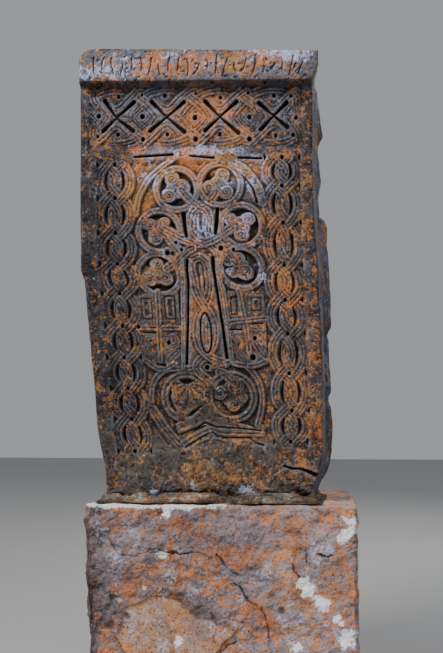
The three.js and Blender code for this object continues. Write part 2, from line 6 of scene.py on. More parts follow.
import bpy
import numpy as np
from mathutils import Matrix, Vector


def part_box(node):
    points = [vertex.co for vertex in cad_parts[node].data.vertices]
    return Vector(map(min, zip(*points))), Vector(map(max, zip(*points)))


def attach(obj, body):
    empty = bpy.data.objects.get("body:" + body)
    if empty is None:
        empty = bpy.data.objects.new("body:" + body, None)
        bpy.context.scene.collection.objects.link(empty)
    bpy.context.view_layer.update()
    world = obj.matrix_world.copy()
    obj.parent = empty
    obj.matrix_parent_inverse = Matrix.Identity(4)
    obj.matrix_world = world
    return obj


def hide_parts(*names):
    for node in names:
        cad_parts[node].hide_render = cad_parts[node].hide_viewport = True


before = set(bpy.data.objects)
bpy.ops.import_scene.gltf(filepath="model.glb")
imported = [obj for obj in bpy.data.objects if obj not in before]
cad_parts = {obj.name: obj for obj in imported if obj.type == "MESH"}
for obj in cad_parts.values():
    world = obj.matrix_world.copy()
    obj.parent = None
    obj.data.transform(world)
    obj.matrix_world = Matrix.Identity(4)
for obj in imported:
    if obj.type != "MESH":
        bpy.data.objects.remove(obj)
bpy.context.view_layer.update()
stele_low, stele_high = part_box("stele")
pedestal_low, pedestal_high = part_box("pedestal")
bed_low, bed_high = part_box("mortar_bed")

MM = 0.001
TRIANGLES_PER_PIECE = 192000

# Slab
FACE_SETBACK = 0.140
SLAB_WIDTH = 0.767
SLAB_THICKNESS = 0.220
SLAB_OFFSET = -0.0845
ARRIS_WEAR = 0.012
SIDE_SPLAY = 0.024
BACK_CROWN = 0.016
BACK_CROWN_INSET = 0.230
DRESSED_SHARE = 0.45
ROUGH_SHARE = 0.62
FACE_Y = pedestal_low.y + FACE_SETBACK
SLAB_BASE = stele_low.z
SLAB_HEIGHT = stele_high.z - stele_low.z

# Share of the height, left edge in, right edge out and bulge behind, in millimetres
SLAB_EDGES = np.array([
    [0, 87, 1, -8], [0.03, 84, 6, 2], [0.05, 82, 18, 10], [0.07, 79, 28, 10], [0.1, 69, 34, 10],
    [0.16, 54, 35, 12], [0.21, 49, 34, 4], [0.23, 48, 34, 12], [0.36, 28, 29, 4], [0.38, 26, 29, 12],
    [0.487, 11, 19, 18], [0.51, 0, 18, 16], [0.61, -2, 7, 20], [0.627, -2, 6, 12], [0.635, -2, 5, -4],
    [0.68, -2, 3, -6], [0.72, -2, 1, 6], [0.78, -2, 0, -2], [0.8, -2, 0, -1], [0.82, -2, 0, 10],
    [0.87, -2, 0, 4], [0.93, -2, 0, -4], [0.95, 0, 0, -16], [1, 0, 0, -10],
])

# Cornice
CORNICE_HEIGHT = 0.100
CORNICE_LOW = SLAB_HEIGHT - CORNICE_HEIGHT
CORNICE_OUT_LOW = 0.044
CORNICE_OUT_HIGH = 0.070
CORNICE_SOFFIT_RISE = 0.020
CORNICE_OVERHANG = 0.018
CORNICE_FALL = 0.012
CORNICE_END_SLANT = 0.042
CORNICE_ROUND_WIDTH = 0.052
CORNICE_ROUND_HEIGHT = 0.040

# The face's squares, and depths in the carving in millimetres
SQUARES_ACROSS = 100
SQUARES_UP = 192
CELL = 0.215
GROUND = 9.5
FLOOR = 7.0
HOLE = 26.0
OVER = 0.6
EVEN = 2.2
UNDER = 5.2
GROOVE = 3.6
EDGE_FALL = 0.4

across = np.linspace(-50, 50, round(SQUARES_ACROSS / CELL) + 1)
up = np.linspace(0, SQUARES_UP, round(SQUARES_UP / CELL) + 1)
depth = np.zeros((len(up), len(across)))


# Random unevenness

def smooth_share(value):
    share = np.clip(value, 0, 1)
    return share * share * (3 - 2 * share)


def bumps(u, v, seed):
    """Smooth random values from -1 to 1, one bump to a unit of u and v."""
    size = 64
    table = np.random.default_rng(seed).uniform(-1, 1, (size, size))
    column = np.floor(u).astype(int)
    row = np.floor(v).astype(int)
    right = smooth_share(u - column)
    rise = smooth_share(v - row)
    here, beside = column % size, (column + 1) % size
    low, high = row % size, (row + 1) % size
    below = table[low, here] + right * (table[low, beside] - table[low, here])
    above = table[high, here] + right * (table[high, beside] - table[high, here])
    return below + rise * (above - below)


def rough(u, v, size, octaves, seed):
    """Bumps of one size with finer and lower ones on them."""
    total = 0
    for octave in range(octaves):
        finer = 2 ** octave
        total = total + bumps(u * finer / size, v * finer / size, seed + octave) / finer
    return total


def flakes(u, v, size, steps, seed):
    """Terraces with sharp edges, as layered stone leaves where it flakes, from 0 to 1."""
    level = (rough(u, v, size, 4, seed) * 0.5 + 0.5) * steps
    return (np.floor(level) + smooth_share((level - np.floor(level)) * 5)) / steps


# Paths on the face

def curve(points, closed=False, steps=7):
    """A smooth path through points of across, up and a value that changes along it."""
    points = np.array(points, float)
    count = len(points)
    path = []
    for i in range(count if closed else count - 1):
        if closed:
            a, b, c, d = (points[(i + k) % count] for k in (-1, 0, 1, 2))
        else:
            a, b, c, d = (points[min(max(i + k, 0), count - 1)] for k in (-1, 0, 1, 2))
        for t in np.arange(steps) / steps:
            bend = (c - a) * t + (2 * a - 5 * b + 4 * c - d) * t ** 2 + (3 * b - a - 3 * c + d) * t ** 3
            path.append(b + bend / 2)
    path.append(points[0] if closed else points[-1])
    return np.array(path)


def level_path(points, value):
    return [[place[0], place[1], value] for place in points]


def circle(centre, radius, value, steps=40):
    turn = np.linspace(0, 2 * math.pi, steps + 1)
    return np.column_stack([
        centre[0] + radius * np.cos(turn), centre[1] + radius * np.sin(turn), np.full(steps + 1, value),
    ])


# Carving tools: each changes the depth grid

def nearest(path, reach):
    """How far each cell within reach is from a path, and the path's value at the nearest place."""
    distance = np.full(depth.shape, np.inf)
    value = np.zeros(depth.shape)
    for start, end in zip(path[:-1], path[1:]):
        run = end[:2] - start[:2]
        length = run @ run
        if length == 0:
            continue
        low = np.minimum(start, end) - reach
        high = np.maximum(start, end) + reach
        columns = slice(*np.searchsorted(across, (low[0], high[0])))
        rows = slice(*np.searchsorted(up, (low[1], high[1])))
        x = across[columns][None, :] - start[0]
        y = up[rows][:, None] - start[1]
        share = np.clip((x * run[0] + y * run[1]) / length, 0, 1)
        gap = np.hypot(x - share * run[0], y - share * run[1])
        closer = gap < distance[rows, columns]
        distance[rows, columns][closer] = gap[closer]
        value[rows, columns][closer] = (start[2] + share * (end[2] - start[2]))[closer]
    return distance, value


def lay_band(path, width, ridges=3, groove=GROOVE, roundness=0.7):
    """A raised band with rounded ridges; the path's value is the depth of its crests."""
    half = width / 2
    distance, crest = nearest(path, half + EDGE_FALL)
    wave = np.cos if ridges % 2 else np.sin
    ridge = np.abs(wave(math.pi * ridges * np.minimum(distance, half) / width)) ** roundness
    surface = crest + groove * (1 - ridge)
    fall = np.clip((distance - half) / EDGE_FALL, 0, 1)
    surface += fall * (GROUND + 3 - surface)
    surface[distance > half + EDGE_FALL] = np.inf
    np.minimum(depth, surface, out=depth)


def lay_line(points, crest, width, ridges=2, groove=GROOVE):
    """A band through points at one depth."""
    lay_band(curve(level_path(points, crest)), width, ridges, groove)


def cut(path, floor=HOLE):
    """A slit along a path whose value is the slit's width."""
    path = np.array(path, float)
    distance, width = nearest(path, path[:, 2].max() / 2 + EDGE_FALL)
    share = smooth_share((width / 2 - distance) / EDGE_FALL + 0.5)
    share[np.isinf(distance)] = 0
    np.maximum(depth, floor * share, out=depth)


def hole(centre, width, floor=HOLE):
    x, y = centre
    cut([[x, y - 0.1, width], [x, y + 0.1, width]], floor)


def polygon_mask(corners):
    inside = np.zeros(depth.shape, bool)
    for (x0, y0), (x1, y1) in zip(corners, corners[1:] + corners[:1]):
        if y0 == y1:
            continue
        crosses = (y0 > up) != (y1 > up)
        edge = (x1 - x0) * (up - y0) / (y1 - y0) + x0
        inside ^= crosses[:, None] & (across[None, :] < edge[:, None])
    return inside


def sink(corners, floor=GROUND, slope=EDGE_FALL):
    """A sunk field; the slope is how wide its walls are."""
    rim = np.array(level_path(corners + corners[:1], 0), float)
    distance, _ = nearest(rim, 2 * slope)
    share = np.where(polygon_mask(corners), smooth_share(distance / slope), 0)
    np.maximum(depth, floor * share, out=depth)


def raise_to(corners, level):
    inside = polygon_mask(corners)
    depth[inside] = np.minimum(depth[inside], level)


def run_out(low, high, level):
    """Lets the sunk ground rise to a level towards its foot."""
    limit = level + (GROUND - level) * smooth_share((up - low) / (high - low))
    np.minimum(depth, limit[:, None], out=depth)


def rectangle(left, right, low, high):
    return [(left, low), (right, low), (right, high), (left, high)]


def place_from(centre):
    return across[None, :] - centre[0] + 0 * up[:, None], up[:, None] - centre[1] + 0 * across[None, :]


def disc(centre, reach, level):
    """A low dome, the body of a leaf."""
    x, y = place_from(centre)
    gap = np.hypot(x, y) / reach
    surface = level + 3 * gap ** 2
    surface[gap > 1] = np.inf
    np.minimum(depth, surface, out=depth)


RIDGE_PITCH = 1.35
CURL_GROOVE = 2.8


def lay_curl(centre, reach, hand=1, lean=0, slim=1, crest=EVEN + 0.5):
    """A ridged spiral, slimmer across its lean, in degrees, than along it."""
    x, y = place_from(centre)
    angle = math.radians(lean)
    along = x * math.cos(angle) + y * math.sin(angle)
    aside = (y * math.cos(angle) - x * math.sin(angle)) / slim
    gap = np.hypot(along, aside)
    turn = np.arctan2(aside, along) / (2 * math.pi)
    ridge = np.abs(np.cos(math.pi * (gap / RIDGE_PITCH - hand * turn))) ** 0.8
    surface = crest + CURL_GROOVE * (1 - ridge) + 2.5 * smooth_share((gap - reach) / 0.5 + 1)
    surface[gap > reach] = np.inf
    np.minimum(depth, surface, out=depth)


def lay_fan(corners, root, ribs, level):
    """A leaf with ribs that spread from its root."""
    x, y = place_from(root)
    ridge = np.abs(np.cos(np.arctan2(y, x) * ribs / 2 + 0.3 * bumps(x / 3, y / 3, 5)))
    surface = level + 3.4 * (1 - ridge)
    surface[~polygon_mask(corners)] = np.inf
    np.minimum(depth, surface, out=depth)


# Sunk fields

LATTICE_MIDDLE = 164.1
LATTICE_LEFT = -46.0
LATTICE_RIGHT = 45.0
LATTICE_FLOOR = 6.0
FIELD = [
    (-43.4, 18), (-31, 18), (-14, 20), (10, 22.5), (26, 22), (44.6, 19.5), (44.8, 60), (45.6, 147.3), (-43.6, 147.3),
]


def sink_fields():
    sink(rectangle(LATTICE_LEFT - 1.6, LATTICE_RIGHT + 1.6, 149.8, 178.4), LATTICE_FLOOR, 3.2)
    sink(FIELD, GROUND, 3.8)
    raise_to(rectangle(-43.6, -28.5, 141, 147.3), 6)
    raise_to(rectangle(29.5, 45.6, 144, 147.3), 6)
    run_out(21, 33, 4.6)


# Lattice under the cornice

SLITS = [
    ((-34.3, 163.9), [(-39.4, 171.5), (-26.8, 170.6), (-40.0, 158.3), (-27.1, 158.3)]),
    ((-12.5, 164.1), [(-19.1, 170.9), (-5.2, 170.6), (-19.7, 158.3), (-4.9, 157.7)]),
    ((10.4, 164.1), [(4.0, 170.9), (17.5, 170.6), (4.0, 158.3), (18.4, 157.1)]),
    ((33.5, 164.4), [(27.1, 170.0), (39.1, 170.0), (28.0, 158.6), (39.4, 159.5)]),
]
LATTICE_HOLES = [
    (-41.9, 164.7, 1.7), (-23.0, 164.4, 1.9), (-0.3, 163.8, 1.9), (23.1, 163.8, 1.7), (43.1, 163.5, 1.4),
    (-33.4, 173.1, 1.4), (-23.2, 173.7, 0.9), (-13.4, 173.4, 1.6), (0.0, 174.2, 0.8), (10.6, 172.4, 1.4),
    (22.5, 174.3, 1.1), (33.5, 173.1, 1.5), (40.9, 172.8, 1.1), (-42.3, 155.9, 1.1), (-33.6, 156.7, 1.4),
    (-22.8, 154.6, 1.6), (-12.3, 156.7, 1.5), (-0.1, 154.5, 1.9), (10.4, 156.7, 1.6), (23.1, 154.4, 1.8),
    (34.4, 155.8, 1.4), (41.8, 156.0, 1.3),
]
DIAMOND_REACH = 5.6
DIAMOND_PITCH = 1.75
LATTICE_BAND = 4.4
RING_PATH = [
    [18.4, 0, EVEN], [15.2, 4.4, EVEN], [11.2, 7.8, OVER], [6.9, 10.6, UNDER], [0, 11.9, EVEN],
    [-6.9, 10.6, OVER], [-11.2, 7.8, UNDER], [-15.2, 4.4, EVEN], [-18.4, 0, EVEN],
]
WAVE_CREST = 12.1
WAVE_SHOULDER = (6.6, 8.6)
WAVE_DIP = 3.2
LATTICE_PITCH = 22.6


def lay_lattice_ring(centre):
    swap = {OVER: UNDER, UNDER: OVER, EVEN: EVEN}
    for flip in (1, -1):
        points = []
        for x, y, crest in RING_PATH:
            place = min(max(centre + x, LATTICE_LEFT + 2), LATTICE_RIGHT - 2)
            if LATTICE_LEFT - 5 < centre + x < LATTICE_RIGHT + 5:
                points.append([place, LATTICE_MIDDLE + flip * y, crest if flip > 0 else swap[crest]])
        if len(points) > 1:
            lay_band(curve(points), LATTICE_BAND)


def lay_lattice_wave(flip):
    points = [[LATTICE_LEFT + 1, LATTICE_MIDDLE + flip * (WAVE_CREST - 0.6), EVEN]]
    shoulder_across, shoulder_up = WAVE_SHOULDER
    for (centre, _), _ in SLITS:
        before, after = (UNDER, OVER) if flip > 0 else (OVER, UNDER)
        points.append([centre - LATTICE_PITCH / 2, LATTICE_MIDDLE + flip * WAVE_CREST, EVEN])
        points.append([centre - shoulder_across, LATTICE_MIDDLE + flip * shoulder_up, before])
        points.append([centre, LATTICE_MIDDLE + flip * WAVE_DIP, EVEN])
        points.append([centre + shoulder_across, LATTICE_MIDDLE + flip * shoulder_up, after])
    points.append([LATTICE_RIGHT - 1, LATTICE_MIDDLE + flip * (WAVE_CREST - 0.6), EVEN])
    lay_band(curve(points), LATTICE_BAND)


def lay_diamond(centre):
    """Ridges nested round a diamond's middle."""
    x, y = place_from(centre)
    gap = np.abs(x) + np.abs(y)
    surface = EVEN + 2.8 * (1 - np.abs(np.cos(math.pi * gap / DIAMOND_PITCH)))
    surface[gap > DIAMOND_REACH] = np.inf
    np.minimum(depth, surface, out=depth)


def lay_lattice():
    for centre in (SLITS[0][0][0] - LATTICE_PITCH, *(slit[0][0] for slit in SLITS), SLITS[-1][0][0] + LATTICE_PITCH):
        lay_lattice_ring(centre)
    for flip in (1, -1):
        lay_lattice_wave(flip)
    for x, y, _ in LATTICE_HOLES[:5]:
        lay_diamond((x, y))
    for centre, ends in SLITS:
        for end in ends:
            cut([[*centre, 0.6], [*end, 1.8]])
    for x, y, width in LATTICE_HOLES:
        hole((x, y), width)


# Border columns: four strands plaited into rings round the joints, from the top down

COLUMNS = [
    [
        (-35.1, 143.7), (-35.0, 129.2), (-34.9, 114.1), (-34.4, 100.7), (-35.3, 87.9), (-35.2, 73.9),
        (-35.6, 60.1), (-35.2, 46.8), (-34.4, 33.4), (-34.7, 19.6),
    ],
    [
        (37.0, 146.4), (36.8, 134.2), (36.8, 118.3), (36.1, 100.0), (35.5, 85.0), (35.7, 70.5),
        (35.8, 53.4), (36.5, 37.3), (35.8, 23.9),
    ],
]
COLUMN_BAND = 4.2
OUTER_REACH = 6.4
INNER_REACH = 1.8
JOINT_REACH = 3.3
STRAIGHT_SHARE = 0.2
CRESCENT_TIP = 2.7
CRESCENT_MIDDLE = 3.75
CRESCENT_WIDTH = 1.05
CRESCENT_FLOOR = 13.5
CRESCENT_RISE = 0.27
SIDE_HOLE_REACH = 7.7


def column_strand(joints, side, parity):
    points = []
    for ring, (axis, joint) in enumerate(joints):
        outer = (ring + parity) % 2 == 0
        beside = [axis + side * JOINT_REACH, joint, OVER if (side < 0) == outer else UNDER]
        above = [axis, joint + JOINT_REACH, OVER if side > 0 else UNDER]
        below = [axis, joint - JOINT_REACH, OVER if side < 0 else UNDER]
        points += [above, beside] if outer else [beside, below]
        if ring == len(joints) - 1:
            break
        next_axis, next_joint = joints[ring + 1]
        axis, middle, pitch = (axis + next_axis) / 2, (joint + next_joint) / 2, joint - next_joint
        if outer:
            for rise in (STRAIGHT_SHARE, -STRAIGHT_SHARE):
                points.append([axis + side * OUTER_REACH, middle + rise * pitch, EVEN])
        else:
            points.append([axis - side * INNER_REACH, middle, EVEN])
    return points


def lay_column(joints):
    top_axis, top = joints[0]
    for side in (-1, 1):
        top_band = [(top_axis - side, top + 2.4), (top_axis + side * 4, top + 4.4), (top_axis + side * 9, top + 3.4)]
        lay_line(top_band, EVEN, 3.6, 3)
    for side in (-1, 1):
        for parity in (0, 1):
            lay_band(curve(column_strand(joints, side, parity)), COLUMN_BAND)
    for (axis, joint), (next_axis, next_joint) in zip(joints, joints[1:]):
        middle, pitch = (joint + next_joint) / 2, joint - next_joint
        for side in (-1, 1):
            crescent = []
            for share in np.linspace(-1, 1, 9):
                belly = 1 - share ** 2
                reach = CRESCENT_TIP + (CRESCENT_MIDDLE - CRESCENT_TIP) * belly
                place = middle + share * CRESCENT_RISE * pitch
                crescent.append([(axis + next_axis) / 2 + side * reach, place, 0.25 + CRESCENT_WIDTH * belly])
            cut(crescent, CRESCENT_FLOOR)
    for axis, joint in joints:
        hole((axis, joint), 1.5, 18)
        for side in (-1, 1):
            corner = axis + side * SIDE_HOLE_REACH
            cut([[corner, joint - 1.2, 0.3], [corner - side * 0.4, joint, 1.2], [corner, joint + 1.2, 0.3]], 12.5)


# The cross: six ringed leaves, an upper arm and a stem of plaited strands

CROSS_BAND = 4.3
LOBE_OPENING = 7.6
LOBE_FRAME = 10.3
LOBE_FLOOR = 17.5
LOBES = [(-8.4, 132.9), (10.3, 134.8), (-16.1, 114.7), (19.1, 117.1), (-17.3, 96.0), (17.9, 98.8)]
# Each leaf's body, then its curls: across, up, reach, hand, lean and slimness
LEAVES = [
    [(-8.6, 133, 4.4), (-10.3, 137.4, 3.3, 1, 0, 1), (-11.8, 130.3, 3.3, -1, 0, 1), (-5.4, 134.2, 3.7, 1, -50, 0.72)],
    [(10, 134.6, 4.4), (11.4, 139, 3.3, -1, 0, 1), (5.9, 133.6, 3.3, 1, 0, 1), (12.9, 131.6, 3.3, -1, 0, 1)],
    [
        (-17, 115.4, 4.2), (-20.6, 117.8, 3.5, 1, 10, 0.7), (-14.2, 118.4, 3, -1, 30, 0.8),
        (-17.8, 111.6, 3.3, 1, 0, 1),
    ],
    [(18.6, 117, 4.2), (14.4, 119.7, 3, 1, 0, 1), (21.9, 120, 3.4, -1, 0, 0.85), (18.9, 113.2, 3.4, 1, 0, 1)],
    [(-17.8, 96, 4.2), (-17.8, 100.8, 3, 1, 0, 0.8), (-21.5, 94.2, 3.4, -1, 0, 1), (-14.6, 94.3, 3.3, 1, 0, 1)],
    [(17.4, 98.8, 4.4), (17.1, 102.9, 2.8, -1, 0, 1), (19.6, 97, 3.6, 1, 0, 1), (14, 96.8, 3, -1, -20, 0.75)],
]
TOP_LEFT_STRAND = [
    [-6.4, 132.6, EVEN], [-2.9, 128.7, EVEN], [1.1, 125.4, OVER], [4.4, 123.2, EVEN], [5.6, 119.6, EVEN],
    [5.2, 114.3, EVEN], [7.4, 110.4, UNDER], [12, 107, EVEN], [16, 101, EVEN],
]
TOP_RIGHT_STRAND = [
    [8.4, 131.6, EVEN], [4.6, 126.6, UNDER], [-0.6, 124.2, EVEN], [-2.4, 120.4, EVEN],
    [-2.4, 114.6, EVEN], [0.4, 110.9, OVER], [5, 109, UNDER], [8.8, 105.6, EVEN], [12.8, 101.4, EVEN],
]
LEFT_STRAND = [
    [-15.2, 116.2, EVEN], [-10.4, 113.6, EVEN], [-5.6, 111, OVER], [0.2, 109.4, UNDER], [5.6, 110.6, OVER],
    [10, 113, EVEN], [15, 116.2, EVEN],
]
LOWER_LEFT_STRAND = [
    [-13.2, 113.4, EVEN], [-9.2, 107.8, OVER], [-5.2, 103.4, UNDER], [-2.4, 102.6, EVEN], [0.8, 103.4, EVEN],
    [3.7, 100.4, EVEN], [4.1, 94.6, EVEN], [3.4, 88.4, EVEN], [0.8, 82.4, UNDER],
    [-2.1, 77.1, EVEN], [-3.3, 71.4, EVEN], [-2.5, 65.6, EVEN], [0.5, 61.6, OVER], [4, 59.2, EVEN], [8.4, 57.8, EVEN],
]
LOWER_RIGHT_STRAND = [
    [-13.4, 98.6, EVEN], [-9.4, 101.4, EVEN], [-5.6, 105.4, OVER], [-2.2, 107.6, EVEN],
]
STEM_STRAND = [
    [-3.2, 100.4, EVEN], [-2.9, 94.6, EVEN], [-2.2, 88.4, EVEN], [0.8, 82.4, OVER],
    [3.6, 77.1, EVEN], [4.6, 71.4, EVEN], [3.5, 65.6, EVEN], [0.5, 61.4, UNDER], [-2.8, 58.8, EVEN],
    [-4.4, 56.2, EVEN], [-3.2, 53.4, OVER], [0.8, 50, EVEN], [6.4, 45.7, EVEN],
]
CROSS_STRANDS = [
    TOP_LEFT_STRAND, TOP_RIGHT_STRAND, LOWER_RIGHT_STRAND, LEFT_STRAND, STEM_STRAND, LOWER_LEFT_STRAND,
]
INNER_LOOPS = [
    [(0.6, 123), (0.6, 116.6), (1.9, 114.6), (3, 116.6), (3, 123)],
    [(0.6, 100), (0.5, 90.4), (0.5, 88), (0.7, 90.4), (0.8, 100)],
]
STEM_OVAL = [
    (0.7, 79.4), (-0.9, 77.4), (-1.6, 73.6), (-1.6, 68.4), (-0.8, 64),
    (0.7, 62.2), (2.3, 64), (3, 68.4), (2.8, 73.6), (2, 77.4),
]
OVAL_SLIT = 0.7
RAILS = [[(-6.8, 102.4), (-7.3, 93), (-8, 87), (-10.1, 55.6)], [(8.4, 102.4), (8.6, 93), (9.6, 87), (11.4, 58)]]
STEM_FIELD = [(-5, 104), (6, 104), (9.3, 58.3), (8, 54), (-8, 54), (-8.6, 55.5)]
ARM_FIELD = [(-3.4, 126), (7, 126), (7, 108), (-3.4, 108)]
STEM_SLITS = [
    [[-4.8, 102.2, 1.2], [-5.4, 91.5, 0.9], [-8.7, 55.3, 1]], [[6.1, 103.3, 1.6], [6.4, 91.5, 1.1], [9.3, 58, 1.3]],
]
ARM_SLITS = [
    [[-5.6, 122.1, 2], [-5.2, 117, 1.5], [-4.6, 112.6, 1.2]], [[8.9, 124.2, 1.6], [8.5, 119, 1.8], [7.8, 113.9, 1.2]],
]
CROSS_HOLES = [
    (9.8, 107.4, 1.9), (-13, 105.4, 1.9), (15.1, 106.7, 1.3), (-9.2, 109.8, 1), (-6.9, 106.8, 1.1), (0.2, 55.8, 1.9),
]


def sink_round(centre, reach, floor):
    """A round opening whose floor rises in places."""
    x, y = place_from(centre)
    uneven = 0.85 + 0.45 * bumps(x / 6 + centre[0], y / 6 + centre[1], 15)
    share = smooth_share((reach - np.hypot(x, y)) / EDGE_FALL)
    np.maximum(depth, floor * uneven * share, out=depth)


def lay_leaf(body, *curls):
    disc(body[:2], body[2], EVEN + 1.8)
    for x, y, reach, hand, lean, slim in curls:
        lay_curl((x, y), reach, hand, lean, slim)


def lay_cross():
    for centre in LOBES:
        sink_round(centre, LOBE_OPENING, LOBE_FLOOR)
    raise_to(STEM_FIELD, FLOOR)
    raise_to(ARM_FIELD, FLOOR)
    for leaf in LEAVES:
        lay_leaf(*leaf)
    for centre in LOBES:
        ring = circle(centre, (LOBE_FRAME + LOBE_OPENING) / 2, EVEN)
        lay_band(ring, LOBE_FRAME - LOBE_OPENING, ridges=2, groove=2.4)
    for strand in CROSS_STRANDS:
        lay_band(curve(strand), CROSS_BAND)
    for loop in INNER_LOOPS:
        lay_line(loop, EVEN, 1.3, 1)
    raise_to(STEM_OVAL, EVEN + 1)
    cut(curve(level_path(STEM_OVAL, OVAL_SLIT), closed=True), 14)
    cut([[0.2, 76, 0.3], [0.1, 66, 0.4]], 6)
    cut([[1.5, 75, 0.4], [1.4, 66, 0.3]], 6)
    for rail in RAILS:
        lay_line(rail, OVER, 2.1)
    for slit in STEM_SLITS + ARM_SLITS:
        cut(slit)
    for x, y, width in CROSS_HOLES:
        hole((x, y), width)


# The arch over the cross, and the small crosses beside its stem

ARCH_LEFT = [(-26, 122), (-25.2, 127.2), (-23.9, 131.1), (-20.4, 137.2), (-14.8, 142.3), (-10, 146), (-6.4, 147.6)]
ARCH_RIGHT = [(9.8, 147), (14.5, 144.6), (20.3, 141.5), (24.4, 136.7), (27.2, 131.6), (28.3, 127)]
ARCH_SLIT = [[20.9, 138, 0.3], [24.2, 133.3, 1], [26, 127.2, 1]]
TOP_LINES = [
    [[-26.4, 146.9, 0.7], [-10, 147.9, 0.9]], [[-2.7, 147.3, 0.5], [7.7, 146.4, 0.9]],
    [[18.4, 146.4, 0.8], [28.3, 146, 0.7]],
]
SMALL_CROSSES = [
    {
        "ground": [(-28.2, 86), (-22, 89), (-10, 89), (-10.4, 56), (-20, 53), (-28, 58)],
        "panels": [(-27, -21, 76, 86.4), (-17, -11, 76, 87.4)],
        "bars": [
            [(-18.9, 88.4), (-19.9, 58.2)], [(-28, 73), (-10.8, 73)], [(-26.2, 58.8), (-20.3, 55), (-13.6, 57.6)],
        ],
        "curls": [(-23.8, 67.6, 3, 1), (-14, 67.8, 3.2, -1), (-24, 61.4, 2.2, -1)],
        "slants": [[(-25.4, 64), (-21, 58.6)], [(-16, 59), (-11.4, 63.4)]],
        "lines": [[[-26.6, 71, 0.5], [-21, 71, 0.8]], [[-21.4, 57.4, 0.6], [-18, 56.8, 0.9]]],
        "holes": [(-15.7, 66.5, 1.6), (-28.4, 73.4, 1.6)],
    },
    {
        "ground": [(11, 89), (22, 89), (27, 84), (26.4, 58), (12, 58)],
        "panels": [(11.4, 15.4, 78, 87), (20.2, 25.8, 79.6, 86.8)],
        "bars": [[(16, 89), (19.4, 60.4)], [(10.4, 75.4), (27, 77.2)], [(12, 57.6), (20, 56.6), (26, 58.6)]],
        "curls": [(14, 69.2, 2.8, 1), (14.6, 64, 2.6, -1), (23.7, 69.6, 3, -1)],
        "slants": [[(13, 64.6), (16.8, 59)], [(22, 66.4), (25.4, 61)]],
        "lines": [[[11, 72.3, 0.5], [16, 72.3, 0.7]], [[20.4, 74.6, 0.5], [25, 75, 0.7]]],
        "holes": [(21.6, 68.5, 1.6), (20.4, 60.2, 2.4)],
    },
]


def lay_arch():
    lay_line(ARCH_LEFT, OVER, 2.7)
    lay_line(ARCH_RIGHT, OVER, 4.2, 3, 1.8)
    cut(ARCH_SLIT, 18)
    for line in TOP_LINES:
        cut(line)


PANEL_FLOOR = 8.5
PANEL_FRAMES = (0, 1.6)
PANEL_CREST = 4.4


def lay_small_cross(ground, panels, bars, curls, slants, lines, holes):
    raise_to(ground, EVEN + 2)
    for left, right, low, high in panels:
        panel = rectangle(left, right, low, high)
        sink(panel, PANEL_FLOOR, 0.6)
        for inset in PANEL_FRAMES:
            frame_path = rectangle(left + inset, right - inset, low + inset, high - inset)
            lay_band(np.array(level_path(frame_path + frame_path[:1], PANEL_CREST)), 1.2, 1, 2)
    for slant in slants:
        lay_line(slant, EVEN, 4.2, 3)
    for bar in bars:
        lay_line(bar, OVER, 2.8)
    for x, y, reach, hand in curls:
        lay_curl((x, y), reach, hand, crest=EVEN)
    for line in lines:
        cut(line, 14)
    for x, y, width in holes:
        hole((x, y), width, 17)


# The roundel below the cross, and the plaits that carry it

CELLS = [(-9.3, 42.9), (10.2, 43.1)]
CELL_OPENING = 8.2
CELL_FRAME = 11.6
VINE_LEAF = [
    (-15.9, 49.3), (-12.4, 50.4), (-10.4, 48.6), (-8.4, 48.8), (-4, 50.8), (0, 46.9), (-1.2, 43.4), (0, 40.6),
    (-4.6, 38.8), (-8, 36.6), (-11.7, 32.9), (-15.1, 33.6), (-14.2, 37), (-15.4, 39.6), (-16.7, 43.1), (-15.7, 46),
]
HANGING_LEAF = [
    (11.4, 44, 6.2), (12.2, 48, 4.2, 1, 45, 0.9), (5.2, 45, 3.3, -1, 0, 1), (11, 39.6, 3.1, 1, 0, 1),
    (15.6, 42.8, 2.2, -1, 0, 1),
]
POCKETS = [
    [(-20, 45), (-14, 43), (-11, 33), (-20, 33)], [(-10, 33), (-1, 35), (1, 43), (-5, 41)],
    [(2, 36), (10, 33), (10, 38), (5, 39.5)], [(14, 48), (19, 48), (19, 37), (14, 37)],
]
ROUNDEL_ARCS = [
    [(-24.7, 37.4), (-25.2, 43.6), (-23.1, 50.3), (-18.4, 54.4), (-11.6, 55.4), (-4.7, 55.6)],
    [(3.1, 56.4), (10.5, 58.2), (17.7, 56), (22.6, 49), (23.6, 40), (21.3, 31.1)],
]
MOUND = [
    (-1.8, 46.9), (-0.2, 46.9), (0.6, 39.8), (4.6, 34.6), (12.9, 32), (18, 31), (22, 29), (3, 29), (-1.8, 31),
    (-14.1, 26.8), (-15.1, 31.6), (-8.7, 34), (-2.6, 39.3),
]
CELL_STEM = [(5.6, 54), (8.6, 52.4), (11.6, 49.4)]
BASE_PLAITS = [
    [(-12.5, 23), (-5.2, 27), (1, 29.4), (5.3, 27.8), (14, 27.6), (23.4, 27.2)],
    [(-11, 19.6), (-4, 23.2), (2, 24.6), (9, 23), (17, 23.6), (22.4, 21.4)],
]
CORNER_PLAIT = [(-24.7, 37.4), (-20.2, 30.2), (-13.2, 21.1)]
BASE_LINES = [
    [[-14.1, 26.8, 0.4], [-4.9, 30.2, 0.6], [-1.8, 32.1, 0.8], [3, 30.2, 0.6], [12.9, 29.7, 0.5], [22.7, 28.7, 0.6]],
    [[-27, 35.4, 0.6], [-23.9, 29.7, 1], [-19, 22.5, 0.6]],
    [[-11.6, 21.3, 0.6], [-5.4, 24.8, 0.6], [-2.2, 26.8, 0.4]],
    [[5.1, 25.4, 0.5], [17.6, 25.6, 0.6], [20, 23.4, 0.6], [23.6, 22.5, 0.8]],
]


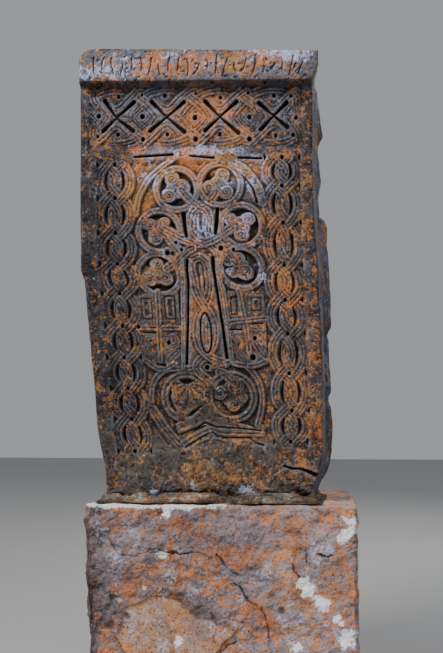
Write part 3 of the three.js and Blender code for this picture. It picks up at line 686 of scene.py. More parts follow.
def lay_roundel():
    for centre in CELLS:
        sink_round(centre, CELL_OPENING, LOBE_FLOOR - 2)
    raise_to(rectangle(-20, 20, 33, 38), 12)
    for pocket in POCKETS:
        raise_to(pocket, 10)
    lay_fan(VINE_LEAF, (-8.4, 49), 13, EVEN + 0.3)
    lay_curl((-14, 46), 2.3)
    lay_leaf(*HANGING_LEAF)
    for centre in CELLS:
        lay_band(circle(centre, (CELL_FRAME + CELL_OPENING) / 2, EVEN), CELL_FRAME - CELL_OPENING, ridges=2)
    raise_to(MOUND, EVEN)
    for arc in ROUNDEL_ARCS:
        lay_line(arc, EVEN, 2.8)
    lay_line(CELL_STEM, EVEN, 4.4, 3)
    for plait in BASE_PLAITS:
        lay_line(plait, EVEN, 3.2)
    lay_line(CORNER_PLAIT, EVEN, 4.6, 3)
    lay_curl((0.6, 25.6), 2.1)
    lay_curl((22.6, 29.2), 2.4, -1)
    for line in BASE_LINES:
        cut(line, 11)


# Damage and wear on the face

FOOT_CRACK = [[33, 13.6, 0.4], [37, 12.4, 0.8], [42, 12.2, 0.8], [49.5, 9.6, 1.5]]
CHIPS = [
    (-47, 120, 2.2), (48, 96, 2.6), (-48, 66, 2.4), (48, 60, 2.4), (-42, 27, 2), (20, 14, 2.4), (-22, 8, 3),
    (-48.5, 140, 2), (-48, 92, 1.6), (-47.5, 40, 3), (44, 132, 1.8), (41, 112, 2.2),
]


def wear_face():
    """Pits, worn crests and a rough foot."""
    x, y = place_from((0, 0))
    foot = smooth_share((21 - y) / 9)
    worn = rough(x, y, 9, 3, 11) * 0.8 + rough(x, y, 1.6, 3, 21) * 0.75
    pits = smooth_share((rough(x, y, 1.1, 2, 31) - 0.62) * 3) * 2.2
    broken = flakes(x, y, 14, 5, 41) * 8 + rough(x, y, 2.5, 3, 51) * 1.8 - 2
    result = depth * (1 - 0.25 * foot) + worn + pits + foot * broken
    hem = smooth_share((3.4 + 1.6 * rough(x, 0 * x, 9, 3, 66) - y) / 2.4)
    result += hem * (7 + 5 * rough(x, y, 4, 3, 68))
    for chip_across, chip_up, reach in CHIPS:
        gap = np.hypot(x - chip_across, y - chip_up) / reach + rough(x, y, 1.5, 2, 61) * 0.3
        result += 3.5 * smooth_share(1 - gap)
    return result


STROKE_COUNT = 23
STROKE_MARGIN = 9


def cut_cornice_strokes():
    """A row of worn strokes along the cornice, in no alphabet."""
    low = CORNICE_LOW / SLAB_HEIGHT * SQUARES_UP
    tall = CORNICE_HEIGHT / SLAB_HEIGHT * SQUARES_UP
    pitch = (SQUARES_ACROSS - STROKE_MARGIN) / STROKE_COUNT
    for mark in range(STROKE_COUNT):
        middle = (STROKE_MARGIN - SQUARES_ACROSS) / 2 + (mark + 0.5) * pitch
        lean = 0.6 * math.sin(2.4 * mark)
        start = 0.24 + 0.1 * math.sin(1.7 * mark)
        end = 0.74 + 0.08 * math.sin(3.1 * mark) - (0.26 if mark % 4 == 3 else 0)
        places = (start, (start + end) / 2, end)
        bend = 0.5 * math.sin(5.3 * mark)
        shifts = (-lean, bend, lean)
        cut([[middle + x, low + y * tall, 0.55] for x, y in zip(shifts, places)], 3.4)


def blurred(field, reach):
    """The field averaged over a reach in squares."""
    def weights(places):
        gap = (places[:, None] - places[None, :]) / reach
        weight = np.exp(-gap ** 2 / 2)
        return weight / weight.sum(axis=1, keepdims=True)
    return weights(up) @ field @ weights(across).T


# Meshes

def object_from(name, vertices, triangles):
    mesh = bpy.data.meshes.new(name)
    mesh.vertices.add(len(vertices))
    mesh.vertices.foreach_set("co", np.asarray(vertices, np.float32).ravel())
    mesh.loops.add(triangles.size)
    mesh.loops.foreach_set("vertex_index", triangles.astype(np.int32).ravel())
    mesh.polygons.add(len(triangles))
    mesh.polygons.foreach_set("loop_start", np.arange(0, triangles.size, 3, dtype=np.int32))
    mesh.update(calc_edges=True)
    mesh.validate()
    piece = bpy.data.objects.new(name, mesh)
    bpy.context.scene.collection.objects.link(piece)
    return piece


def closed_body(name, rings):
    """A closed mesh through rings that run anticlockwise seen from above, from low to high."""
    rows, columns = rings.shape[:2]
    start = np.arange(rows - 1)[:, None] * columns + np.arange(columns)[None, :]
    beside = np.arange(rows - 1)[:, None] * columns + (np.arange(columns)[None, :] + 1) % columns
    lower = np.stack([start, beside, beside + columns], axis=-1).reshape(-1, 3)
    upper = np.stack([start, beside + columns, start + columns], axis=-1).reshape(-1, 3)
    bottom, top = rows * columns, rows * columns + 1
    around = np.arange(columns)
    after = (around + 1) % columns
    last = (rows - 1) * columns
    under = np.stack([np.full(columns, bottom), after, around], axis=-1)
    over = np.stack([np.full(columns, top), last + around, last + after], axis=-1)
    vertices = np.vstack([rings.reshape(-1, 3), rings[0].mean(axis=0), rings[-1].mean(axis=0)])
    return object_from(name, vertices, np.vstack([lower, upper, under, over]))


def inset_rings(ring, shares, height_at):
    """Rings that close a cap, each a share of the way out from the middle."""
    middle = np.array([(ring[:, 0].min() + ring[:, 0].max()) / 2, (ring[:, 1].min() + ring[:, 1].max()) / 2])
    rings = []
    for share in shares:
        flat = middle + (ring[:, :2] - middle) * share
        rings.append(np.column_stack([flat, height_at(flat[:, 0], flat[:, 1], ring[:, 2])]))
    return np.array(rings)


def sampled(corners, counts):
    """Points along the straight stretches between corners: rows by points by two."""
    stretches = []
    for k, count in enumerate(counts):
        share = (np.arange(count) / count)[None, :, None]
        here = corners[:, k][:, None, :]
        there = corners[:, (k + 1) % corners.shape[1]][:, None, :]
        stretches.append(here + share * (there - here))
    return np.concatenate(stretches, axis=1)


def pushed_out(rings, amount):
    """Moves the rings' points outwards, level, by an amount at each."""
    tangent = np.roll(rings[..., :2], -1, axis=1) - np.roll(rings[..., :2], 1, axis=1)
    tangent /= np.maximum(np.linalg.norm(tangent, axis=-1, keepdims=True), 1e-9)
    normal = np.stack([tangent[..., 1], -tangent[..., 0]], axis=-1)
    moved = rings.copy()
    moved[..., :2] += normal * amount[..., None]
    return moved


def simplified(piece, most):
    """The piece's mesh with no more triangles than asked."""
    count = len(piece.data.polygons)
    if count <= most:
        return
    modifier = piece.modifiers.new("simplify", "DECIMATE")
    modifier.ratio = most / count
    evaluated = piece.evaluated_get(bpy.context.evaluated_depsgraph_get())
    mesh = bpy.data.meshes.new_from_object(evaluated)
    piece.modifiers.clear()
    old = piece.data
    piece.data = mesh
    mesh.name = piece.name
    bpy.data.meshes.remove(old)


def places_of(piece):
    places = np.zeros(len(piece.data.vertices) * 3, np.float32)
    piece.data.vertices.foreach_get("co", places)
    return places.reshape(-1, 3)


def normals_of(piece):
    normals = np.zeros(len(piece.data.vertices) * 3, np.float32)
    piece.data.vertex_normals.foreach_get("vector", normals)
    return normals.reshape(-1, 3)


def store(piece, name, values):
    attribute = piece.data.attributes.new(name, "FLOAT", "POINT")
    attribute.data.foreach_set("value", np.asarray(values, np.float32))


def smooth_shaded(piece):
    piece.data.polygons.foreach_set("use_smooth", np.ones(len(piece.data.polygons), bool))
    piece.data.update()


# Stele

def slab_edge(column, height):
    return np.interp(height / SLAB_HEIGHT, SLAB_EDGES[:, 0], SLAB_EDGES[:, column]) * MM


def slab_sides(height):
    """The left and right edge of the slab's face at a height above its foot."""
    left = SLAB_OFFSET - SLAB_WIDTH / 2 + slab_edge(1, height)
    right = SLAB_OFFSET + SLAB_WIDTH / 2 + slab_edge(2, height)
    rounding = np.clip((height - SLAB_HEIGHT + CORNICE_ROUND_HEIGHT) / CORNICE_ROUND_HEIGHT, 0, 1)
    left = left + CORNICE_ROUND_WIDTH * (1 - np.sqrt(1 - rounding ** 2))
    slant = CORNICE_HEIGHT - CORNICE_END_SLANT
    overhang = np.clip((height - CORNICE_LOW + 0.004) / slant, 0, 1)
    return left, right + CORNICE_OVERHANG * overhang


def cornice_reach(height):
    """How far the face stands forward at a height: the soffit, then the cornice's leaning face."""
    soffit = np.clip((height - CORNICE_LOW + CORNICE_SOFFIT_RISE) / CORNICE_SOFFIT_RISE, 0, 1) ** 1.5
    lean = np.clip((height - CORNICE_LOW) / CORNICE_HEIGHT, 0, 1)
    return soffit * CORNICE_OUT_LOW + lean * (CORNICE_OUT_HIGH - CORNICE_OUT_LOW)


SIDE_COUNTS = (18, 8, 16, 26, 44, 26, 34)
BACK_ROUGHNESS = 0.009
SIDE_DENTS = [(0.367, 0.006), (0.22, 0.007), (0.57, 0.004)]


def stele_rings(relief):
    height = up / SQUARES_UP * SLAB_HEIGHT
    left, right = slab_sides(height)
    front = FACE_Y - cornice_reach(height)
    bulge = slab_edge(3, height)
    hump = BACK_CROWN * (1 + np.sin(math.pi * height / SLAB_HEIGHT)) / 2
    back = np.full_like(height, FACE_Y + SLAB_THICKNESS)
    splay = SIDE_SPLAY * (1 - smooth_share((height / SLAB_HEIGHT - 0.92) / 0.035))
    rear_right = right + splay + bulge
    rear_left = left + ARRIS_WEAR / 2 - bulge / 2
    x = left[:, None] + (across[None, :] / SQUARES_ACROSS + 0.5) * (right - left)[:, None]
    y = front[:, None] + relief * MM + arris_round(x, left, right, height)
    corners = np.stack([
        np.stack([right, y[:, -1]], axis=-1),
        np.stack([right + splay / 2, FACE_Y + SLAB_THICKNESS * DRESSED_SHARE + 0 * right], axis=-1),
        np.stack([rear_right, FACE_Y + SLAB_THICKNESS * ROUGH_SHARE + 0 * right], axis=-1),
        np.stack([rear_right - ARRIS_WEAR, back - ARRIS_WEAR - bulge], axis=-1),
        np.stack([right - BACK_CROWN_INSET, back + hump], axis=-1),
        np.stack([left + BACK_CROWN_INSET, back + hump + bulge], axis=-1),
        np.stack([rear_left, back - ARRIS_WEAR], axis=-1),
        np.stack([left, y[:, 0]], axis=-1),
    ], axis=1)
    sides = sampled(corners, SIDE_COUNTS + (1,))[:, 1:-1]
    flat = np.concatenate([np.stack([x, y], axis=-1), sides], axis=1)
    heights = np.repeat(height[:, None], flat.shape[1], axis=1)
    rings = np.concatenate([flat, (SLAB_BASE + heights)[..., None]], axis=-1)
    rings = pushed_out(rings, side_unevenness(rings, heights))
    slope = np.clip((rings[..., 0] - left[:, None]) / (right - left)[:, None], 0, 1)
    rings[..., 2] -= CORNICE_FALL * slope * np.clip((heights - CORNICE_LOW) / CORNICE_HEIGHT, 0, 1)
    return rings


def arris_round(x, left, right, height):
    """The worn arrises: how far the face curves back beside its edges."""
    wear = ARRIS_WEAR * (1 + 0.5 * rough(height / 0.05, 0 * height, 1, 3, 71))[:, None]
    from_left = np.clip(1 - (x - left[:, None]) / wear, 0, 1)
    from_right = np.clip(1 - (right[:, None] - x) / (wear * 0.6), 0, 1)
    return wear * (1 - np.sqrt(1 - from_left ** 2)) + wear * 0.5 * (1 - np.sqrt(1 - from_right ** 2))


def side_unevenness(rings, heights):
    """Rough work on the back and behind the dressed strip; the sides' fronts are nearly smooth."""
    count = rings.shape[1]
    first = len(across)
    ends = first + np.cumsum(SIDE_COUNTS) - 1
    places = [0, first - 1, first + 4, ends[0], ends[1], ends[2], ends[5], ends[5] + 8, count - 5, count - 1]
    amounts = [0, 0, 0.0012, 0.002, 0.0045, 0.006, BACK_ROUGHNESS, 0.004, 0.002, 0]
    amplitude = np.interp(np.arange(count), places, amounts)[None, :]
    around = rings[..., 0] + rings[..., 1]
    lumps = rough(around, heights, 0.11, 4, 81)
    steps = flakes(around, heights, 0.2, 6, 91) * 2 - 1
    strip = (np.arange(count) >= first) & (np.arange(count) < ends[0])
    streaks = bumps(around / 0.012, heights / 0.09, 101) * 0.0012 * strip[None, :]
    behind = (np.arange(count) > ends[0] - 2) & (np.arange(count) < ends[2])
    dents = 0
    for share, deep in SIDE_DENTS:
        dents = dents + deep * np.exp(-((heights / SLAB_HEIGHT - share) / 0.012) ** 2)
    return amplitude * (0.6 * lumps + 0.7 * steps) + streaks - dents * behind[None, :]


def build_stele():
    relief = wear_face()
    rings = stele_rings(relief)

    def top_at(x, y, height):
        return height + 0.004 * rough(x, y, 0.06, 4, 111) - 0.002

    shares = np.linspace(0.985, 0.05, 16)
    top = inset_rings(rings[-1], shares, top_at)
    bottom = inset_rings(rings[0], (0.3, 0.8), lambda x, y, height: height)
    piece = closed_body("stele_carved", np.concatenate([bottom, rings, top]))
    simplified(piece, TRIANGLES_PER_PIECE)
    smooth_shaded(piece)
    colour_stele(piece, relief)
    return piece


# Where growth covers the stele's front, where it gets bluish-white painted highlights, where it is lighter and where
# browner: across, up, reaches and share
ORANGE_AREAS = [
    (0, 143, 26, 7, 0.86), (-24, 134, 8, 16, 0.84), (26, 142, 8, 6, 0.7), (36, 100, 8, 30, 0.58),
    (46, 90, 5, 60, 0.52), (38, 50, 9, 30, 0.52), (44, 30, 8, 26, 0.5), (0, 164, 16, 12, 0.7),
    (20, 156, 16, 6, 0.66), (-14, 156, 14, 6, 0.62), (0, 186, 50, 7, 0.54), (0, 78, 9, 26, 0.54),
    (-20, 72, 9, 18, 0.46), (20, 74, 9, 20, 0.48), (-18, 104, 12, 24, 0.54), (0, 28, 30, 8, 0.48),
    (0, 10, 50, 12, 0.42), (-41, 156, 6, 6, 0.54), (10, 108, 20, 20, 0.5), (0, 45, 26, 18, 0.36),
]
# Bluish-white painted highlights on the cross, the arch and the cornice, and three small pale spots at the foot
PALE_AREAS = [
    (-16, 139, 9, 9, 0.4), (20, 138, 10, 10, 0.42), (2, 118, 5, 9, 0.5), (20, 118, 10, 9, 0.34),
    (-16, 97, 9, 9, 0.24), (4, 149.6, 16, 2.6, 0.5), (-38, 182.6, 12, 3.4, 0.6), (36, 189.5, 14, 3.4, 0.6),
    (4, 186, 9, 2, 0.44), (-14, 189, 10, 2, 0.4), (-30, 188, 10, 3, 0.36), (20, 96, 10, 9, 0.26),
    (18.7, 1.8, 3.2, 2, 0.95), (-7.3, 4.6, 1.7, 1.7, 0.8), (-26.8, 1.6, 1.8, 1.5, 0.8),
]
LIGHT_AREAS = [
    (0, 186, 60, 8, 1.15), (0, 140, 30, 12, 0.88), (0, 118, 24, 20, 0.6), (0, 164, 34, 16, 0.35),
    (0, 84, 28, 30, 0.45), (36, 60, 14, 60, 0.4), (0, 14, 60, 16, 0.45), (36, 130, 12, 20, 0.3),
    (0, 44, 26, 16, 0.2),
]
BROWN_AREAS = [
    (0, 40, 28, 22, 0.9), (0, 84, 28, 30, 0.7), (0, 12, 60, 16, 0.85), (38, 60, 12, 60, 0.55), (0, 132, 20, 20, 0.35),
]


# Where the painted shade and highlights are weaker: the two columns
DULL_AREAS = [(-35, 82, 11, 66, 1.0), (36, 82, 11, 66, 0.8)]


def area_share(areas, x, y):
    share = np.zeros_like(x)
    for middle_x, middle_y, reach_x, reach_y, strength in areas:
        gap = ((x - middle_x) / reach_x) ** 2 + ((y - middle_y) / reach_y) ** 2
        share = np.maximum(share, strength * np.exp(-gap ** 1.5 / 2))
    return share


STELE_FRONT_DEPTH = 0.034


def colour_stele(piece, relief):
    """Stores, at each point, painted shade from how hollow the carving is there and on sides and undersides turned
    from the front, painted highlight on its crests and in bluish-white areas, and what grows on it.
    """
    places, normals = places_of(piece), normals_of(piece)
    height = np.clip(places[:, 2] - SLAB_BASE, 0, SLAB_HEIGHT)
    left, right = slab_sides(height)
    x = ((places[:, 0] - left) / (right - left) - 0.5) * SQUARES_ACROSS
    y = height / SLAB_HEIGHT * SQUARES_UP
    column = np.clip(np.rint((x + 50) / (across[1] - across[0])), 0, len(across) - 1).astype(int)
    row = np.clip(np.rint(y / (up[1] - up[0])), 0, len(up) - 1).astype(int)
    front = (places[:, 1] < FACE_Y + STELE_FRONT_DEPTH) & (np.abs(x) < 50)
    # Painted shade in the grooves and deep cuts, and painted highlight on the crests, both from the relief
    grooves = relief - blurred(relief, 0.75)
    groove_shade_field = smooth_share(grooves / 1.7) * 0.85 + smooth_share((relief - 11) / 7)
    crest_highlight_field = smooth_share((blurred(relief, 0.9) - relief) / 1.8)
    painted_shade = np.where(front, groove_shade_field[row, column], 0.15)
    crest = np.where(front, crest_highlight_field[row, column], 0.3)
    # The columns get weaker painted shade and highlight
    dull = np.where(front, area_share(DULL_AREAS, x, y), 0)
    painted_shade = painted_shade * (1 - 0.28 * dull)
    crest = crest * (1 - 0.5 * dull)
    # Painted shade where the face turns away from the front and on undersides such as the cornice's soffit
    sloped_side_shade = smooth_share((0.5 - np.clip(-normals[:, 1], 0, 1)) / 0.5) * front
    under = smooth_share((-normals[:, 2] - 0.25) * 2)
    store(piece, "painted_shade", np.clip(painted_shade + 0.25 * sloped_side_shade + 0.4 * under, 0, 1))
    store(piece, "crest", crest)
    lit = area_share(LIGHT_AREAS, x, y)
    brown = np.where(front, area_share(BROWN_AREAS, x, y), 0)
    streak = bumps(places[:, 1] / 0.007, height / 0.14, 231)
    store(piece, "light", np.where(front, lit, 0.4 + 0.4 * streak))
    store(piece, "orange", np.where(front, np.maximum(area_share(ORANGE_AREAS, x, y), 0.36), 0.3 + 0.12 * streak))
    # On the front the pale patches are bluish-white painted highlights
    store(piece, "pale_lichen_and_highlight", np.where(front, area_share(PALE_AREAS, x, y), 0.12))
    store(piece, "haze", np.where(front, 0.12 + 0.2 * lit - 0.25 * brown, 0.3))
    store(piece, "brown", brown)


# Pedestal

PEDESTAL_SPREAD = 0.024
PEDESTAL_EDGE_WEAR = 0.009
CHIPPED_CORNER_REACH = 0.062
CHIPPED_TOP_HEIGHT = 0.046
CHIPPED_FOOT_REACH = 0.012
BROKEN_WIDTH = 0.120
BROKEN_DEPTH = 0.330
BROKEN_DROP = 0.046
PEDESTAL_HEIGHT = pedestal_high.z - pedestal_low.z
PEDESTAL_WIDTH = 0.876
PEDESTAL_FRONT = pedestal_low.y
PEDESTAL_BACK = pedestal_high.y
PEDESTAL_FINE = 0.003
PEDESTAL_COARSE = 0.012

# Cracks and a worn scar on the front, in hundredths of its width from the middle and of its height
CRACKS = [
    [(-41.5, 84.7), (-38, 77.5), (-36.5, 74), (-32.5, 74.4), (-23.8, 76.8), (-15, 75), (-7.3, 76.6), (-2, 74.4)],
    [(-0.4, 76), (1.6, 72.6), (4.2, 67.4), (6.8, 64.6)], [(5, 60.6), (7.8, 56.4), (10.6, 51.8), (13.6, 48.6)],
    [(15.4, 47), (16.6, 42.4), (18, 35), (18.8, 25.8), (18.4, 12)], [(27.2, 71), (28.6, 64.2)],
    [(31.2, 78.8), (31.9, 72.6)], [(36.4, 76.2), (40.6, 74.6)], [(6.5, 30.6), (1.6, 26.4), (-3.4, 19)],
]
SCAR = [
    (-37.9, 32.3), (-34, 50), (-25.1, 53.1), (-15.5, 53.1), (-9.8, 45.3),
    (7.1, 37.1), (1.4, 29.8), (-3.4, 21), (-32, 19.4),
]
SCAR_LEDGE = [(-20, 54), (-15, 53.6), (-9, 46.6), (-3, 43.6), (4, 40.4)]
FRONT_PITS = [(23, 46.5, 0.013), (-33.5, 43, 0.010), (-40.5, 38, 0.016), (-39, 52, 0.009)]
PEDESTAL_CRACK_DEPTH = 0.007
SCAR_DEPTH = 0.008


def pedestal_corners(z, inset):
    """The block's outline at heights z: rows by corners by two."""
    widen = PEDESTAL_SPREAD * (1 - z / PEDESTAL_HEIGHT)
    left = -PEDESTAL_WIDTH / 2 + widen + inset
    right = PEDESTAL_WIDTH / 2 + widen / 3 - inset
    front = PEDESTAL_FRONT + inset
    back = PEDESTAL_BACK - inset
    chipped = smooth_share((z - PEDESTAL_HEIGHT + 2 * CHIPPED_TOP_HEIGHT) / (1.5 * CHIPPED_TOP_HEIGHT))
    chip = CHIPPED_FOOT_REACH + chipped * (CHIPPED_CORNER_REACH - CHIPPED_FOOT_REACH)
    wear = PEDESTAL_EDGE_WEAR
    corners = [
        (left + chip, front), (right - wear, front), (right, front + wear), (right, back - wear),
        (right - wear, back), (left + wear, back), (left, back - wear), (left, front + chip),
    ]
    return np.stack([np.stack([x + 0 * z, y + 0 * z], axis=-1) for x, y in corners], axis=1)


def gap_to_paths(paths, x, y, reach):
    """How far points are from any of the paths, up to a reach."""
    gap = np.full(x.shape, reach)
    for path in paths:
        for (x0, y0), (x1, y1) in zip(path[:-1], path[1:]):
            run = np.array([x1 - x0, y1 - y0])
            share = np.clip(((x - x0) * run[0] + (y - y0) * run[1]) / (run @ run), 0, 1)
            gap = np.minimum(gap, np.hypot(x - x0 - share * run[0], y - y0 - share * run[1]))
    return gap


def inside_polygon(corners, x, y):
    inside = np.zeros(x.shape, bool)
    for (x0, y0), (x1, y1) in zip(corners, corners[1:] + corners[:1]):
        if y0 != y1:
            inside ^= ((y0 > y) != (y1 > y)) & (x < (x1 - x0) * (y - y0) / (y1 - y0) + x0)
    return inside


def on_front(path):
    return [(x / 100 * PEDESTAL_WIDTH, z / 100 * PEDESTAL_HEIGHT) for x, z in path]


def broken_top(x, y):
    """How far the top has broken away toward the back left corner."""
    share = 0.25 + 0.75 * (y - PEDESTAL_BACK + BROKEN_DEPTH) / BROKEN_DEPTH
    share = np.clip(share, 0, 1)
    slope = 1 - (x + PEDESTAL_WIDTH / 2) / np.maximum(BROKEN_WIDTH * share, 1e-6)
    ragged = 1 + 0.35 * rough(x, y, 0.05, 3, 121)
    return BROKEN_DROP * share * np.clip(slope, 0, 1) * ragged


def wobbled(x, z):
    """Places on the front shifted a little, so that its lines run unevenly."""
    return x + 0.007 * rough(x, z, 0.03, 4, 131), z + 0.007 * rough(x, z, 0.03, 4, 136)


def crack_share(x, z):
    """How far a place lies in a crack or a pit; the cracks are thin, and faint in places."""
    gap = gap_to_paths([on_front(path) for path in CRACKS], x, z, 0.03)
    faint = 0.75 + 0.5 * bumps(x / 0.035, z / 0.035, 241)
    share = smooth_share(1.5 - gap / 0.0022) * np.clip(faint, 0.2, 1)
    for pit, reach in zip(on_front([pit[:2] for pit in FRONT_PITS]), [pit[2] for pit in FRONT_PITS]):
        share = np.maximum(share, 0.7 * smooth_share(2 - 1.6 * np.hypot(x - pit[0], z - pit[1]) / reach))
    return share


def ledge_share(x, z):
    """How far a place lies in the crumbled band over the scar."""
    gap = gap_to_paths([on_front(SCAR_LEDGE)], x, z, 0.04)
    return smooth_share(1.5 - gap / 0.011) * np.clip(0.7 + 0.8 * bumps(x / 0.02, z / 0.012, 246), 0, 1)


def pedestal_wear(rings):
    """How far the block's sides stand in from their planes."""
    x, y, z = rings[..., 0], rings[..., 1], rings[..., 2]
    around = x + 1.3 * y
    front = y < PEDESTAL_FRONT + 0.02
    wobble_x, wobble_z = wobbled(x, z)
    crack = PEDESTAL_CRACK_DEPTH * crack_share(wobble_x, wobble_z) * front
    scar_gap = gap_to_paths([on_front(SCAR + SCAR[:1])], wobble_x, wobble_z, 0.012)
    in_scar = inside_polygon(on_front(SCAR), wobble_x, wobble_z) & front
    scar = SCAR_DEPTH * np.where(in_scar, smooth_share(scar_gap / 0.006), 0)
    crumbled = ledge_share(wobble_x, wobble_z) * front * (0.004 + 0.005 * rough(x, z, 0.012, 2, 156))
    even = np.where(front, 1, 0.55)
    steps = even * (flakes(around, z * 1.8, 0.13, 8, 141) * 0.010 + flakes(around, z * 1.3, 0.045, 5, 146) * 0.0055)
    lumps = even * rough(around, z, 0.022, 3, 151) * 0.0034
    corner = smooth_share(1 - np.hypot(x + PEDESTAL_WIDTH / 2, y - PEDESTAL_FRONT) / 0.13)
    broken = corner * (flakes(around * 2, z, 0.07, 4, 158) * 0.016 - 0.006)
    calm = np.where(in_scar, 0.22, 1)
    return crack + scar + crumbled + broken + calm * (steps + lumps) - 0.008


def build_pedestal():
    rows = round(PEDESTAL_HEIGHT / PEDESTAL_FINE)
    z = np.append(np.linspace(0, PEDESTAL_HEIGHT - 0.008, rows), PEDESTAL_HEIGHT - np.array([0.005, 0.002, 0]))
    inset = PEDESTAL_EDGE_WEAR * (1 - np.sqrt(1 - np.clip((z - PEDESTAL_HEIGHT) / 0.009 + 1, 0, 1) ** 2))
    lengths = (0.81, 0.02, 0.47, 0.02, 0.85, 0.02, 0.42, 0.07)
    steps = [PEDESTAL_FINE] + [PEDESTAL_COARSE] * 6 + [PEDESTAL_FINE]
    counts = [max(2, round(length / step)) for length, step in zip(lengths, steps)]
    flat = sampled(pedestal_corners(z, inset), counts)
    heights = np.repeat(z[:, None], flat.shape[1], axis=1)
    rings = np.concatenate([flat, heights[..., None]], axis=-1)
    wear = pedestal_wear(rings)
    rings = pushed_out(rings, -wear)

    def top_at(x, y, height):
        return height + 0.004 * rough(x, y, 0.05, 4, 161) - 0.004

    shares = (0.985, 0.97, 0.95, 0.925, 0.9, 0.87, 0.84, 0.81, 0.78, 0.75, 0.7, 0.6, 0.3)
    top = inset_rings(rings[-1], shares, top_at)
    bottom = inset_rings(rings[0], (0.3, 0.9), lambda x, y, height: height)
    everything = np.concatenate([bottom, rings, top])
    limit = PEDESTAL_HEIGHT - broken_top(everything[..., 0], everything[..., 1])
    everything[..., 2] = np.minimum(everything[..., 2], limit)
    piece = closed_body("pedestal_block", everything)
    simplified(piece, TRIANGLES_PER_PIECE)
    smooth_shaded(piece)
    colour_pedestal(piece)
    return piece


# Growth on the pedestal's front: across from the middle, up and reach, in millimetres
LICHENS = [
    (418, 576, 20), (424, 552, 20), (404, 534, 18), (390, 520, 15),
    (272, 378, 20), (284, 360, 22), (270, 344, 12), (318, 322, 16),
    (336, 312, 18), (326, 298, 14), (247, 176, 17), (376, 268, 15),
    (410, 212, 26), (402, 190, 18), (-167, 601, 15), (-184, 470, 15),
    (-240, 356, 9), (-133, 187, 14), (388, 250, 10), (-104, 622, 14),
]
BLOOMS = [
    (-168, 425, 26), (-66, 353, 30), (-325, 334, 24), (-336, 449, 28),
    (208, 247, 34), (402, 225, 44), (-140, 470, 26), (90, 300, 30),
    (330, 470, 40), (-380, 560, 30), (150, 420, 24),
]


def spots(areas, x, z):
    """How near places are to the middle of ragged spots, 1 in the middle."""
    ragged = 0.4 * rough(x, z, 0.016, 3, 251)
    share = np.zeros(len(x))
    for middle_x, middle_z, reach in areas:
        gap = np.hypot(x - middle_x * MM, z - middle_z * MM) / (reach * MM)
        share = np.maximum(share, np.clip(1.35 - (gap + ragged) * 0.85, 0, 1))
    return share


def colour_pedestal(piece):
    places, normals = places_of(piece), normals_of(piece)
    x, y, z = places.T
    front = y < PEDESTAL_FRONT + 0.04
    wobble_x, wobble_z = wobbled(x, z)
    in_scar = inside_polygon(on_front(SCAR), wobble_x, wobble_z) & front
    ledge = ledge_share(wobble_x, wobble_z) * front
    # Painted shade in the cracks, pits and crumbled band over the scar, and on the sloping edges of the flaking steps
    painted_shade = np.maximum(crack_share(wobble_x, wobble_z) * front, 0.5 * ledge)
    painted_shade = np.maximum(painted_shade, smooth_share((0.93 - np.abs(normals).max(axis=1)) * 4) * 0.6)
    on_top = smooth_share((normals[:, 2] - 0.5) * 3)
    rim = smooth_share((z - PEDESTAL_HEIGHT + 0.014) / 0.01) * (x < 0.02)
    ledge_bloom = 0.35 * on_top * (x < -0.05) * (y < PEDESTAL_FRONT + 0.1)
    right = smooth_share((x + 0.1) / 0.4)
    low = smooth_share((0.55 - z / PEDESTAL_HEIGHT) * 2)
    left_side = smooth_share((-x - 0.34) / 0.07) * front
    # A painted shadow line along the scar's edge
    edge = smooth_share(1.2 - gap_to_paths([on_front(SCAR + SCAR[:1])], wobble_x, wobble_z, 0.02) / 0.004) * front
    # The top faces get a painted highlight and are painted lighter, as light falls on them; the right, the lower part
    # and the scar are lighter too, and the left end darker
    store(piece, "crest", np.clip(0.1 + 0.5 * on_top, 0, 1))
    lit = 0.48 + 0.25 * on_top + 0.3 * in_scar + 0.3 * right + 0.2 * low - 0.35 * left_side
    store(piece, "light", np.clip(lit, 0, 1))
    store(piece, "orange", 0.46 + 0.04 * right * (1 - low) + 0.03 * in_scar - 0.18 * left_side)
    store(piece, "painted_shade", np.clip(painted_shade + 0.25 * edge, 0, 1))
    store(piece, "pale_lichen_and_highlight", np.clip(np.where(front, spots(LICHENS, x, z), 0.1) + 0.5 * rim + ledge_bloom, 0, 1))
    store(piece, "haze", np.where(front, 0.16 + 0.4 * spots(BLOOMS, x, z) + 0.1 * low, 0.25))
    store(piece, "brown", np.clip(0.85 * in_scar + 0.6 * ledge, 0, 1))


# Mortar bed

BED_SPREAD_FRONT = 0.050
BED_SPREAD_SIDE = 0.030
BED_RAGGEDNESS = 0.42
BED_CLEARANCE = 0.0015
BED_EDGE_ROUND = 0.007
BED_RIM_WIDTH = 0.007
FOOT_COUNTS = (240, 4, 30, 18, 26, 50, 80, 50, 44, 8)
BED_LAYERS = 8
BED_RIM_SHARE = 0.4
BED_END_SHARE = 0.14


def foot_outline():
    """The slab's outline at its foot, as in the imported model."""
    left, right = (float(edge) for edge in slab_sides(np.array(0.0)))
    bulge = float(slab_edge(3, 0))
    rear_right = right + SIDE_SPLAY + bulge
    rear_left = left + ARRIS_WEAR / 2 - bulge / 2
    back = FACE_Y + SLAB_THICKNESS
    hump = BACK_CROWN / 2
    return np.array([[
        (left + ARRIS_WEAR, FACE_Y), (right - ARRIS_WEAR / 3, FACE_Y), (right, FACE_Y + ARRIS_WEAR / 3),
        (right + SIDE_SPLAY / 2, FACE_Y + SLAB_THICKNESS * DRESSED_SHARE),
        (rear_right, FACE_Y + SLAB_THICKNESS * ROUGH_SHARE),
        (rear_right - ARRIS_WEAR, back - ARRIS_WEAR - bulge), (right - BACK_CROWN_INSET, back + hump),
        (left + BACK_CROWN_INSET, back + hump + bulge), (rear_left, back - ARRIS_WEAR),
        (left, FACE_Y + ARRIS_WEAR),
    ]])


